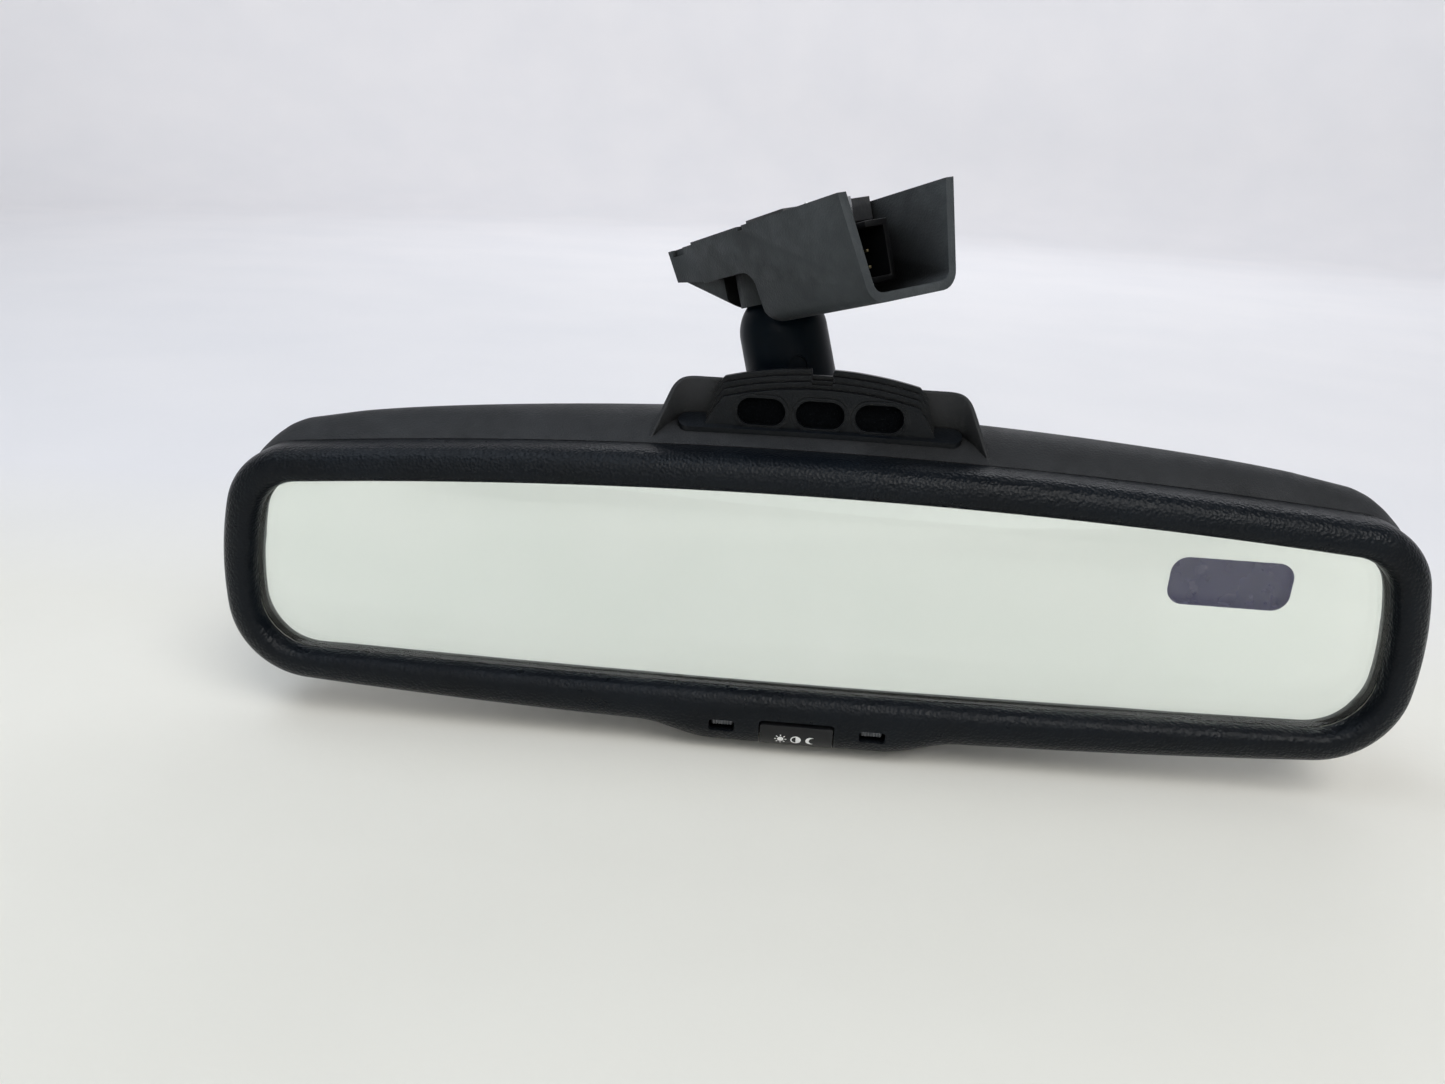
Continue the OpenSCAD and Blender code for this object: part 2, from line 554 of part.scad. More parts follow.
// The formed end of the tube holds the ball
module tube_end() difference() {
    intersection() {
        union() {
            sphere(r = tube_r + 0.2);
            translate([0, 0, -ball_gap / 2]) cylinder(r = tube_r, h = ball_gap / 2);
        }
        translate([0, 0, -ball_gap / 2]) cylinder(r = tube_r, h = ball_gap);
    }
    sphere(r = ball_r + fit);
    translate([0, 0, -ball_gap]) cylinder(r = bore_r, h = ball_gap - 0.6);
    cylinder(r1 = 0, r2 = 30 * tan(mouth), h = 30);
}
module arm_tube() color("#5d6166") in_arm() {
    tube_end();
    at_lower() tube_end();
}
module arm_sleeve() color("#1e2023") in_arm() difference() {
    union() {
        sphere(r = sleeve_r, $fn = 64);
        translate([0, 0, -ball_gap]) cylinder(r1 = sleeve_r + 0.3, r2 = sleeve_r, h = ball_gap, $fn = 64);
    }
    sphere(r = tube_r + 0.35);
    translate([0, 0, -60]) cylinder(r = tube_r + 0.1, h = 60);
    translate([0, 0, -60]) cylinder(r = 20, h = 60 - ball_gap - 0.4);
    cylinder(r1 = 0, r2 = 30 * tan(43), h = 30);
    // Arched recess low on the front
    rotate([0, 0, 14]) translate([0, -sleeve_r - 0.2, -7.4]) rotate([90, 0, 0])
        cylinder(r = 2, h = 2, center = true);
    rotate([0, 0, 14]) block([-2, -sleeve_r - 1, -11], [2, -sleeve_r + 0.8, -7.4]);
}
spring_r = 5.7;
spring_wire = 0.85;
turns = 5;
module arm_spring() color("#b4b8bc") in_arm() {
    z1 = -cup_out - 1.45 - spring_wire;
    z0 = -ball_gap - z1;
    n = turns * 14;
    m = 8;
    rod_mesh([for (i = [0:n]) let (a = 360 * turns * i / n, z = z0 + (z1 - z0) * i / n)
        [for (j = [0:m - 1]) let (b = -360 * j / m, r = spring_r + spring_wire * cos(b))
            [r * cos(a), r * sin(a), z + spring_wire * sin(b)]]]);
}
module arm_harness() color("#2b2c30") in_arm()
    translate([0, 0, -ball_gap + cup_out]) cylinder(r = 1.5, h = ball_gap - 2 * cup_out, $fn = 24);

// ---- windshield mount ----------------------------------------------------------------------
channel_low_half = channel_half_w - 3;
tip_half = 11.3;
open_end = shroud_tip - shroud_len;
skin = 1.9;
dome_space = sleeve_r + 0.35;
skirt = 16.8;         // how far the fairing round the stud reaches below the rim
// Cross-section of the channel, rounded at the lower corners; e shrinks it
module channel_section(e, top) {
    r = 4.2 - e;
    w = channel_half_w - e;
    l = channel_low_half - e;
    polygon(concat([[w, top], [-w, top]], arc([-l + r, -channel_depth + e + r], r, 188, 270, 6),
        arc([l - r, -channel_depth + e + r], r, 270, 352, 6)));
}
module along_y(y0, y1) translate([0, y1, 0]) rotate([90, 0, 0]) linear_extrude(y1 - y0) children();
module side_profile(half, pts) rotate([90, 0, 90]) translate([0, 0, -half]) linear_extrude(2 * half) polygon(pts);

module mount_shroud() color("#2f3033") in_mount() translate([0, 0, rim]) difference() {
    union() {
        difference() {
            along_y(open_end, 9) channel_section(0, 0);
            // Lower edge of the side walls sweeps up beside the arm
            side_profile(40, concat([[20, -9.4]], arc([-7, -13.4], 4, 90, 165, 5),
                arc([-15.8, -17.6], 5, -10, -60, 4), [[-14.8, -60], [20, -60]]));
        }
        side_profile(tip_half, [[shroud_tip, 0], [shroud_tip - 1.8, -7.6], [10, -9.3], [5, -9.3], [5, 0]]);
        hull() {
            block([-tip_half + 1.5, shroud_tip - 3, -7.4], [tip_half - 1.5, shroud_tip - 2.2, -4]);
            translate([0, 0, -skirt]) cylinder(r = 8.6, h = skirt - 5);
        }
    }
    difference() {
        along_y(open_end - 1, 7) channel_section(skin, 1);
        translate([0, 0, -skirt]) cylinder(r = 8.6, h = skirt - 5);
    }
    block([-tip_half + 1.6, 6, -4.6], [tip_half - 1.6, shroud_tip - 1.8, 1]);
    translate([0, 0, -seat_height - rim]) sphere(r = dome_space);
    translate([0, 0, -40]) cylinder(r = 12.2, h = 40 - skirt);
    translate([0, 0, -20]) cylinder(r = 7.5, h = 30);
    // Hole for the key that turns the set screw
    translate([0, 15, -30]) cylinder(r = 2.6, h = 30);
    // Small notches in the rim
    block([-20, shroud_tip - 7, -1.6], [-tip_half + 1, shroud_tip - 2, 1]);
    block([-20, -12.6, -0.9], [-channel_half_w + 3, -10.6, 1]);
}

seat_half = 7.6;
plate_end = -24;      // end of the bracket's plate, inside the channel
module mount_bracket() color("#3a3c40") in_mount() difference() {
    union() {
        block([-9.4, 4, -2.1], [9.4, shroud_tip - 2.2, rim]);
        block([-11.6, plate_end, -1.6], [11.6, 4, rim]);
        // Raised stop behind the slideway
        block([-11.6, plate_end, rim - 0.1], [11.6, -10, rim + 1]);
        translate([0, 0, -seat_height + foot + 0.2]) cylinder(r = 7.2, h = seat_height - foot - 1.5);
    }
    // Dovetail slideway for the button bonded to the windshield, round a raised pad
    difference() {
        rotate([90, 0, 0]) translate([0, 0, -40]) linear_extrude(50)
            polygon([[-seat_half, -0.3], [seat_half, -0.3], [seat_half - 1.1, rim],
                [seat_half - 1.1, rim + 1], [1.1 - seat_half, rim + 1], [1.1 - seat_half, rim]]);
        block([-5.5, -10.5, -1], [5.5, 10, 0]);
    }
    translate([0, 0, -30]) cylinder(r = 3.52, h = 28.4);
    translate([0, 0, -5]) cylinder(r = 1.8, h = 10);
    translate([0, 15, -5]) cylinder(r = 2.02, h = 10);
}
module upper_ball_stud() color("#8b8f94") in_mount() difference() {
    union() {
        translate([0, 0, -seat_height]) sphere(r = ball_r);
        translate([0, 0, -seat_height]) cylinder(r = neck_r, h = 12);
        translate([0, 0, -seat_height + foot]) cylinder(r = 3.5, h = seat_height - foot - 1.7);
    }
    translate([0, 0, -40]) cylinder(r = 1.6, h = 50);
}
module set_screw() color("#9a9da1") in_mount() difference() {
    translate([0, 15, -3.6]) cylinder(r = 2, h = 3.4);
    translate([0, 15, -3.8]) cylinder(r = 1, h = 2, $fn = 6);
}
module retaining_clip() color("#7c8084") in_mount() {
    block([-6, plate_end - 0.65, -2.15], [6, plate_end - 0.05, rim + 1.5]);
    block([-6, plate_end - 0.1, -2.15], [6, plate_end + 3, -1.65]);
    block([-4, plate_end - 0.1, rim + 1.05], [4, plate_end + 4, rim + 1.5]);
}
conn_low = [-7.6, -33, -15.2];
conn_high = [7.6, -17, -2.5];
module connector_housing() color("#1a1b1d") in_mount() difference() {
    union() {
        block(conn_low, conn_high);
        block([-4.5, -20.8, conn_high[2] - 0.1], [4.5, -17, -1.65]);
    }
    block(conn_low + [1.3, -1, 1.3], [conn_high[0] - 1.3, -22, conn_high[2] - 1.3]);
    block([-1.6, conn_low[1] - 1, conn_high[2] - 1.7], [1.6, -24, conn_high[2] + 1]);
}
module connector_pins() color("#c9b26a") in_mount() for (i = [0:4], k = [0:1])
    block([-5.3 + 2.5 * i, -28.5, -11.9 + 3.4 * k], [-4.7 + 2.5 * i, -22, -11.3 + 3.4 * k]);
module mount_harness() color("#2b2c30") in_mount()
    wire([[0, conn_high[1] + 0.05, -10], [0, -15.5, -10], [0, -12.5, -9.4], [0, -9, -8.2]], 1.5);

front_bezel();
rear_shell();
front_glass();
rear_glass();
cell_seal();
cell_bus_clips();
glass_pad();
glass_carrier();
display_window();
display_module();
circuit_board();
board_components();
board_connector();
board_screws();
button_board();
button_switch();
status_led();
status_lens();
glare_sensor();
glare_sensor_lens();
ambient_sensor();
ambient_sensor_lens();
auto_button();
microphone_cover();
microphone_foam();
microphone_capsules();
microphone_board();
pivot_plate();
pivot_screws();
lower_ball_stud();
stud_nut();
head_harness();
lower_friction_washer();
lower_ball_cup();
lower_spring_seat();
arm_tube();
arm_sleeve();
arm_spring();
arm_harness();
upper_spring_seat();
upper_ball_cup();
upper_friction_washer();
upper_ball_stud();
mount_bracket();
mount_shroud();
set_screw();
retaining_clip();
connector_housing();
connector_pins();
mount_harness();
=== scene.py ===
"""Looks of the interior rearview mirror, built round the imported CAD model, in metres and in its frame."""
import json
import math

import bmesh
import bpy
import numpy as np
from mathutils import Matrix, Vector


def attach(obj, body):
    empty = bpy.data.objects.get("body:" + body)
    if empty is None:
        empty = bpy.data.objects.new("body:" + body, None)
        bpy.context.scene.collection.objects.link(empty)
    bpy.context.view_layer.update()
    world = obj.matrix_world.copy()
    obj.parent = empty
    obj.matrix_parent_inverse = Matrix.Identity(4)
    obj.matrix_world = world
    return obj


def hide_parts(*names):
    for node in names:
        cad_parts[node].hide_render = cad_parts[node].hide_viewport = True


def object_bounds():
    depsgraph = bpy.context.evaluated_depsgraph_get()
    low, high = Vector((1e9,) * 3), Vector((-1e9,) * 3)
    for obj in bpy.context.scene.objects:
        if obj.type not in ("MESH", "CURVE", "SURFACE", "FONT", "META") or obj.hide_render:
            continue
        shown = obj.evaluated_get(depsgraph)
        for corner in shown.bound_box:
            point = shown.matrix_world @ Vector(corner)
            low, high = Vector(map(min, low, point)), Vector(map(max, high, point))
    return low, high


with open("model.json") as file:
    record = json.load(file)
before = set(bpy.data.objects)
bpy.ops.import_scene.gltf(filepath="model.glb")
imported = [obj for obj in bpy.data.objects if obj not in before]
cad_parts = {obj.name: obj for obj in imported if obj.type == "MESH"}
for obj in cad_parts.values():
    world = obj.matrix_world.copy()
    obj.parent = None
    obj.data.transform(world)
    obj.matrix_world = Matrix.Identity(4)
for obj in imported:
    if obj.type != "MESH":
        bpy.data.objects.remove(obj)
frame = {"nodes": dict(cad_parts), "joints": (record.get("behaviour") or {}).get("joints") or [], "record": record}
cad_low, cad_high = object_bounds()
MM = 0.001
JOINTS = {j["name"]: j for j in frame["joints"]}
BODY_OF = {n: b for b, nodes in frame["record"]["behaviour"]["bodies"].items() for n in nodes}
SLOT_OF = {s["node"]: s["material_slot"] for s in frame["record"]["subparts"]}

# ---- camera ------------------------------------------------------------------------------------
CAMERA_AT = Vector((0.01082, -0.2571, 0.01993))
CAMERA_RIGHT = Vector((0.99535, 0.08438, 0.0464))
CAMERA_DOWN = Vector((0.07259, -0.3408, -0.93733))
CAMERA_AHEAD = Vector((-0.06327, 0.93634, -0.34534))
SENSOR_WIDTH, LENS = 36, 27.04


def add_camera():
    data = bpy.data.cameras.new("camera")
    data.sensor_width = SENSOR_WIDTH
    data.lens = LENS
    data.clip_start = 0.01
    data.clip_end = 20
    camera = bpy.data.objects.new("camera", data)
    turn = Matrix((CAMERA_RIGHT, -CAMERA_DOWN, -CAMERA_AHEAD)).transposed()
    camera.matrix_world = Matrix.Translation(CAMERA_AT) @ turn.to_4x4()
    bpy.context.scene.collection.objects.link(camera)
    bpy.context.scene.camera = camera


add_camera()

# ---- spaces of the CAD part --------------------------------------------------------------------
ARM_TURN = math.radians(38.5)  # of the arm in the mount, at rest
BALL = (0, 27.6, 19.1)  # the lower ball's centre in the head, in millimetres
UPPER_BALL = Vector(JOINTS["mount_swivel"]["pos_m"])
LOWER_BALL = Vector(JOINTS["head_swivel"]["pos_m"])
MOUNT_X = Vector(JOINTS["arm_tilt_fore"]["axis"])
MOUNT_Y = Vector(JOINTS["arm_tilt_side"]["axis"])
MOUNT_Z = Vector(JOINTS["mount_swivel"]["axis"])


def space(origin, x=(1, 0, 0), y=(0, 1, 0), z=(0, 0, 1)):
    """A matrix that takes millimetres in a local frame to metres in the row frame."""
    turn = Matrix((Vector(x), Vector(y), Vector(z))).transposed().to_4x4()
    return Matrix.Translation(origin) @ turn @ Matrix.Scale(MM, 4)


HEAD = space(LOWER_BALL - Vector(BALL) * MM)
ARM = space(UPPER_BALL, MOUNT_X * math.cos(ARM_TURN) - MOUNT_Y * math.sin(ARM_TURN),
            MOUNT_X * math.sin(ARM_TURN) + MOUNT_Y * math.cos(ARM_TURN), MOUNT_Z)

# ---- mesh helpers ------------------------------------------------------------------------------


def solid(name, points, faces, where):
    """A mesh object from local millimetre points."""
    mesh = bpy.data.meshes.new(name)
    matrix = np.array(where)
    points = np.asarray(points, float)
    placed = points @ matrix[:3, :3].T + matrix[:3, 3]
    mesh.from_pydata(placed.tolist(), [], [list(f) for f in faces])
    obj = bpy.data.objects.new(name, mesh)
    bpy.context.scene.collection.objects.link(obj)
    edit(obj, lambda bm: bmesh.ops.recalc_face_normals(bm, faces=bm.faces))
    return obj


def edit(obj, change):
    """Runs a change on the object's mesh as a bmesh."""
    bm = bmesh.new()
    bm.from_mesh(obj.data)
    change(bm)
    bm.to_mesh(obj.data)
    bm.free()


def grid(rows, columns, close_rows, close_columns):
    """Quads over a grid of points, rows by columns."""
    last_row = rows if close_rows else rows - 1
    last_column = columns if close_columns else columns - 1
    return [(i * columns + j, (i + 1) % rows * columns + j,
             (i + 1) % rows * columns + (j + 1) % columns, i * columns + (j + 1) % columns)
            for i in range(last_row) for j in range(last_column)]


def ring_solid(name, rings, where):
    """A closed loop of closed rings."""
    rings = np.asarray(rings, float)
    n, m, _ = rings.shape
    return solid(name, rings.reshape(-1, 3), grid(n, m, True, True), where)


def loft(name, loops, where):
    """A row of closed loops with flat ends."""
    loops = np.asarray(loops, float)
    n, m, _ = loops.shape
    faces = grid(n, m, False, True)
    faces += [tuple(range(m)), tuple(range((n - 1) * m, n * m))]
    return solid(name, loops.reshape(-1, 3), faces, where)


def prism(name, shape, axis, low, high, where):
    """A flat outline pushed along an axis; its two coordinates are the other axes in order."""
    shape = np.asarray(shape, float)
    loops = [np.insert(shape, axis, level, axis=1) for level in (low, high)]
    return loft(name, loops, where)


def box(name, low, high, where):
    """A block between two opposite corners."""
    shape = [(low[0], low[1]), (high[0], low[1]), (high[0], high[1]), (low[0], high[1])]
    return prism(name, shape, 2, low[2], high[2], where)


def circle(x, y, r, n=48, start=0.0):
    return [(x + r * math.cos(start + math.tau * i / n), y + r * math.sin(start + math.tau * i / n))
            for i in range(n)]


def rounded(low, high, r, n=8):
    """A rectangle with round corners."""
    corners = [(high[0] - r, high[1] - r, 0), (low[0] + r, high[1] - r, 90),
               (low[0] + r, low[1] + r, 180), (high[0] - r, low[1] + r, 270)]
    return [(x + r * math.cos(math.radians(a + 90 * i / n)), y + r * math.sin(math.radians(a + 90 * i / n)))
            for x, y, a in corners for i in range(n + 1)]


def obround(x, z, w, h, n=16):
    """A slot with round ends about a middle point."""
    return rounded((x - w / 2, z - h / 2), (x + w / 2, z + h / 2), h / 2 - 1e-4, n)


def lathe(name, profile, where, n=96):
    """A profile of radius and height turned about the local Z axis; the profile is a closed loop."""
    turns = [[(r * math.cos(a), r * math.sin(a), z) for r, z in profile]
             for a in [math.tau * i / n for i in range(n)]]
    return ring_solid(name, turns, where)


def hull(name, points, where):
    """The convex solid round some points."""
    obj = solid(name, points, [], where)

    def wrap(bm):
        made = bmesh.ops.convex_hull(bm, input=bm.verts)
        loose = [g for g in made["geom_interior"] if isinstance(g, bmesh.types.BMVert)]
        bmesh.ops.delete(bm, geom=loose, context="VERTS")
        bmesh.ops.recalc_face_normals(bm, faces=bm.faces)
    edit(obj, wrap)
    return obj


def ball_points(centre, r, n=32):
    """Points all over a sphere."""
    x, y, z = centre
    return [(x + r * math.sin(b) * math.cos(a), y + r * math.sin(b) * math.sin(a), z + r * math.cos(b))
            for b in [math.pi * i / n for i in range(n + 1)]
            for a in [math.tau * j / (2 * n) for j in range(2 * n)]]


def apply_modifiers(obj):
    graph = bpy.context.evaluated_depsgraph_get()
    mesh = bpy.data.meshes.new_from_object(obj.evaluated_get(graph))
    old = obj.data
    obj.modifiers.clear()
    obj.data = mesh
    bpy.data.meshes.remove(old)


def combine(obj, operation, *tools):
    """Applies a boolean operation with each tool in turn and removes the tools."""
    for tool in tools:
        modifier = obj.modifiers.new("combine", "BOOLEAN")
        modifier.operation = operation
        modifier.object = tool
        modifier.solver = "MANIFOLD"
        apply_modifiers(obj)
        bpy.data.objects.remove(tool)
    return obj


def cut(obj, *tools):
    return combine(obj, "DIFFERENCE", *tools)


def join(obj, *tools):
    return combine(obj, "UNION", *tools)


def keep_inside(obj, *tools):
    return combine(obj, "INTERSECT", *tools)


def soften(obj, width, angle=40, segments=2):
    """Rounds the sharp edges."""
    modifier = obj.modifiers.new("bevel", "BEVEL")
    modifier.width = width * MM
    modifier.segments = segments
    modifier.limit_method = "ANGLE"
    modifier.angle_limit = math.radians(angle)
    modifier.harden_normals = False
    apply_modifiers(obj)
    return obj


def shade(obj, angle=35):
    """Smooth faces with sharp edges where the surface turns quickly."""
    def smooth(bm):
        for face in bm.faces:
            face.smooth = True
        for edge in bm.edges:
            edge.smooth = len(edge.link_faces) == 2 and edge.calc_face_angle(0) < math.radians(angle)
    edit(obj, smooth)
    return obj


def dress(obj, body, slot, material, *nodes, angle=35):
    """The last step for each piece: shading, material, body and hiding the nodes it stands for; the slot is not
    used.
    """
    shade(obj, angle)
    obj.data.materials.clear()
    obj.data.materials.append(material)
    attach(obj, body)
    if nodes:
        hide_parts(*nodes)
    return obj


# ---- materials ---------------------------------------------------------------------------------


class Nodes:
    """A short way to build a material's node tree."""

    def __init__(self, name):
        self.material = bpy.data.materials.new(name)
        self.material.use_nodes = True
        self.tree = self.material.node_tree
        self.shader = self.tree.nodes["Principled BSDF"]
        self.coordinates = self.add("ShaderNodeTexCoord").outputs["Object"]

    def add(self, kind, **values):
        """A new node with some of its properties or inputs set."""
        node = self.tree.nodes.new(kind)
        for key, value in values.items():
            if hasattr(node, key):
                setattr(node, key, value)
            else:
                node.inputs[key.replace("_", " ").title()].default_value = value
        return node

    def link(self, output, target):
        self.tree.links.new(output, target)

    def noise(self, size, detail=3.0, stretch=(1, 1, 1)):
        """Noise whose features are about size millimetres across."""
        node = self.add("ShaderNodeTexNoise", Scale=1 / (size * MM), Detail=detail)
        place = self.add("ShaderNodeMapping")
        place.inputs["Scale"].default_value = stretch
        self.link(self.coordinates, place.inputs["Vector"])
        self.link(place.outputs["Vector"], node.inputs["Vector"])
        return node.outputs["Fac"]

    def cells(self, size):
        """Round pebbles about size millimetres across."""
        node = self.add("ShaderNodeTexVoronoi", Scale=1 / (size * MM))
        self.link(self.coordinates, node.inputs["Vector"])
        return node.outputs["Distance"]

    def spread(self, value, low, high, from_low=0.3, from_high=0.7):
        """A value mapped to a range."""
        node = self.add("ShaderNodeMapRange")
        numbers = {"From Min": from_low, "From Max": from_high, "To Min": low, "To Max": high}
        for key, number in numbers.items():
            node.inputs[key].default_value = number
        self.link(value, node.inputs["Value"])
        return node.outputs["Result"]

    def mix(self, share, first, second):
        """Two colours mixed by a value; each is a colour or another output."""
        node = self.add("ShaderNodeMix", data_type="RGBA")
        self.link(share, node.inputs["Factor"])
        for side, colour in ((node.inputs[6], first), (node.inputs[7], second)):
            if isinstance(colour, (tuple, list)):
                side.default_value = (*colour, 1)
            else:
                self.link(colour, side)
        return node.outputs[2]

    def math(self, operation, first, second):
        """A sum or product; each side is a number or another output."""
        node = self.add("ShaderNodeMath", operation=operation)
        for side, value in ((node.inputs[0], first), (node.inputs[1], second)):
            if isinstance(value, (int, float)):
                side.default_value = value
            else:
                self.link(value, side)
        return node.outputs[0]

    def bump(self, height, depth):
        """Relief of depth millimetres."""
        node = self.add("ShaderNodeBump", Strength=1.0, Distance=depth * MM)
        self.link(height, node.inputs["Height"])
        self.link(node.outputs["Normal"], self.shader.inputs["Normal"])

    def edges(self):
        """Higher on convex edges, where wear and a painted highlight along rims go."""
        return self.spread(self.add("ShaderNodeNewGeometry").outputs["Pointiness"], 0, 1, 0.52, 0.62)


# Painted shade: the dark colour mixed into closed-in places.
PAINTED_RECESS_SHADE = (0.0012, 0.0013, 0.0014)


def shades(colour, dark=0.8, light=1.25):
    """A darker and a lighter version of a colour."""
    return tuple(c * dark for c in colour), tuple(min(1, c * light) for c in colour)


def plastic(name, colour, rough=0.5, grain=0.3, relief=0.02, pebbles=0.0, coat=0.0, wear_and_highlight=0.3,
            specular=0.5, painted_shade_reach=0.0):
    """Moulded plastic with fine grain, uneven gloss, patches of colour, and lighter convex edges that are partly
    wear and partly a painted highlight along rims.

    Sizes are in millimetres. With a shade reach, places that are closed in within that distance get painted shade:
    ambient occlusion mixes a dark colour into them.
    """
    n = Nodes(name)
    dark, light = shades(colour)
    patches = n.noise(14, 4)
    base = n.mix(n.spread(patches, 0, 1), dark, light)
    # Lighter convex edges: partly wear, partly a painted highlight along rims.
    wear_and_highlight_mask = n.math("MULTIPLY", n.edges(), n.spread(n.noise(3, 5), 0, wear_and_highlight, 0.4, 0.7))
    wear_and_highlight_colour = tuple(min(1, c * 1.6 + 0.03) for c in colour)
    colour = n.mix(wear_and_highlight_mask, base, wear_and_highlight_colour)
    n.shader.inputs["Specular IOR Level"].default_value = specular
    # Painted shade: ambient occlusion darkens the colour in closed-in places.
    if painted_shade_reach:
        shadow = n.add("ShaderNodeAmbientOcclusion", Distance=painted_shade_reach * MM, samples=8)
        openness = n.spread(shadow.outputs["AO"], 0, 1, 0.4, 0.9)
        colour = n.mix(openness, PAINTED_RECESS_SHADE, colour)
    n.link(colour, n.shader.inputs["Base Color"])
    fine = n.noise(grain, 2)
    n.link(n.spread(n.noise(5, 4), rough - 0.07, rough + 0.07), n.shader.inputs["Roughness"])
    height = fine
    if pebbles:
        height = n.math("ADD", n.math("MULTIPLY", fine, 0.4), n.cells(pebbles))
    n.bump(height, relief)
    n.shader.inputs["Coat Weight"].default_value = coat
    return n.material


def metal(name, colour, rough=0.3, brushed=(1, 1, 1), relief=0.01):
    """Plated or bare metal with fine brushing and stains."""
    n = Nodes(name)
    dark, light = shades(colour, 0.75, 1.15)
    n.link(n.mix(n.spread(n.noise(6, 5), 0, 1), dark, light), n.shader.inputs["Base Color"])
    n.link(n.spread(n.noise(0.5, 3, brushed), rough - 0.08, rough + 0.12), n.shader.inputs["Roughness"])
    n.bump(n.noise(0.25, 3, brushed), relief)
    n.shader.inputs["Metallic"].default_value = 1
    return n.material


def rubber(name, colour, rough=0.75, grain=0.6, relief=0.08, specular=0.5):
    """Soft matt stuff with a lumpy surface, such as foam, resin and the leads' sheaths."""
    n = Nodes(name)
    n.shader.inputs["Specular IOR Level"].default_value = specular
    dark, light = shades(colour, 0.7, 1.4)
    n.link(n.mix(n.spread(n.noise(grain * 2, 4), 0, 1), dark, light), n.shader.inputs["Base Color"])
    n.link(n.spread(n.noise(2, 3), rough - 0.08, rough + 0.1), n.shader.inputs["Roughness"])
    n.bump(n.noise(grain, 3), relief)
    return n.material


def board_laminate(name):
    """Solder mask over faint copper tracks."""
    n = Nodes(name)
    tracks = n.add("ShaderNodeTexBrick", Scale=260.0)
    tracks.inputs["Color1"].default_value = (0.012, 0.10, 0.04, 1)
    tracks.inputs["Color2"].default_value = (0.02, 0.15, 0.06, 1)
    tracks.inputs["Mortar"].default_value = (0.03, 0.2, 0.08, 1)
    place = n.add("ShaderNodeMapping")
    place.inputs["Rotation"].default_value = (math.pi / 2, 0, 0)
    n.link(n.coordinates, place.inputs["Vector"])
    n.link(place.outputs["Vector"], tracks.inputs["Vector"])
    n.link(n.mix(n.spread(n.noise(3, 3), 0, 0.4), tracks.outputs["Color"], (0.01, 0.06, 0.03)),
           n.shader.inputs["Base Color"])
    n.link(n.spread(n.noise(2, 2), 0.25, 0.4), n.shader.inputs["Roughness"])
    n.bump(tracks.outputs["Fac"], 0.02)
    return n.material


def clear_glass(name):
    """Glass with faint smears."""
    n = Nodes(name)
    n.link(n.mix(n.spread(n.noise(30, 2), 0, 1), (0.975, 0.992, 0.982), (0.985, 0.996, 0.99)),
           n.shader.inputs["Base Color"])
    n.link(n.spread(n.noise(22, 5), 0.0, 0.02, 0.5, 0.8), n.shader.inputs["Roughness"])
    n.shader.inputs["Transmission Weight"].default_value = 1
    n.shader.inputs["IOR"].default_value = 1.5
    return n.material


def mirror_silver(name):
    """The silvered plate, with the faint green of the gel and slight smears."""
    n = Nodes(name)
    n.link(n.mix(n.spread(n.noise(60, 3), 0, 1), (0.895, 0.92, 0.905), (0.915, 0.94, 0.925)),
           n.shader.inputs["Base Color"])
    n.link(n.spread(n.noise(9, 6), 0.0, 0.05, 0.55, 0.8), n.shader.inputs["Roughness"])
    n.shader.inputs["Metallic"].default_value = 1
    return n.material


def display_blue(name):
    """The dark display behind the window, with a painted glow: a faint emission in its own colour stands in for
    light that the glass keeps from it.
    """
    n = Nodes(name)
    # Painted glow: the same colour is given off as faint light, so the display shows without lamp light.
    painted_glow = n.mix(n.spread(n.noise(7, 3), 0, 1), (0.005, 0.005, 0.03), (0.008, 0.007, 0.036))
    n.link(painted_glow, n.shader.inputs["Base Color"])
    n.link(painted_glow, n.shader.inputs["Emission Color"])
    n.shader.inputs["Emission Strength"].default_value = 1.0
    n.link(n.spread(n.noise(4, 2), 0.2, 0.3), n.shader.inputs["Roughness"])
    return n.material


def ribbed_lens(name):
    """Grey clear-coated plastic; the ribs are in the node's own shape."""
    n = Nodes(name)
    n.link(n.mix(n.spread(n.noise(1.5, 3), 0, 1), (0.2, 0.21, 0.22), (0.34, 0.35, 0.37)),
           n.shader.inputs["Base Color"])
    n.link(n.spread(n.noise(1, 2), 0.18, 0.3), n.shader.inputs["Roughness"])
    n.shader.inputs["Coat Weight"].default_value = 0.4
    return n.material


def ink(name):
    """Matt white print."""
    n = Nodes(name)
    n.link(n.mix(n.spread(n.noise(0.6, 3), 0, 1), (0.78, 0.79, 0.8), (0.88, 0.88, 0.88)),
           n.shader.inputs["Base Color"])
    n.link(n.spread(n.noise(0.5, 2), 0.45, 0.6), n.shader.inputs["Roughness"])
    return n.material
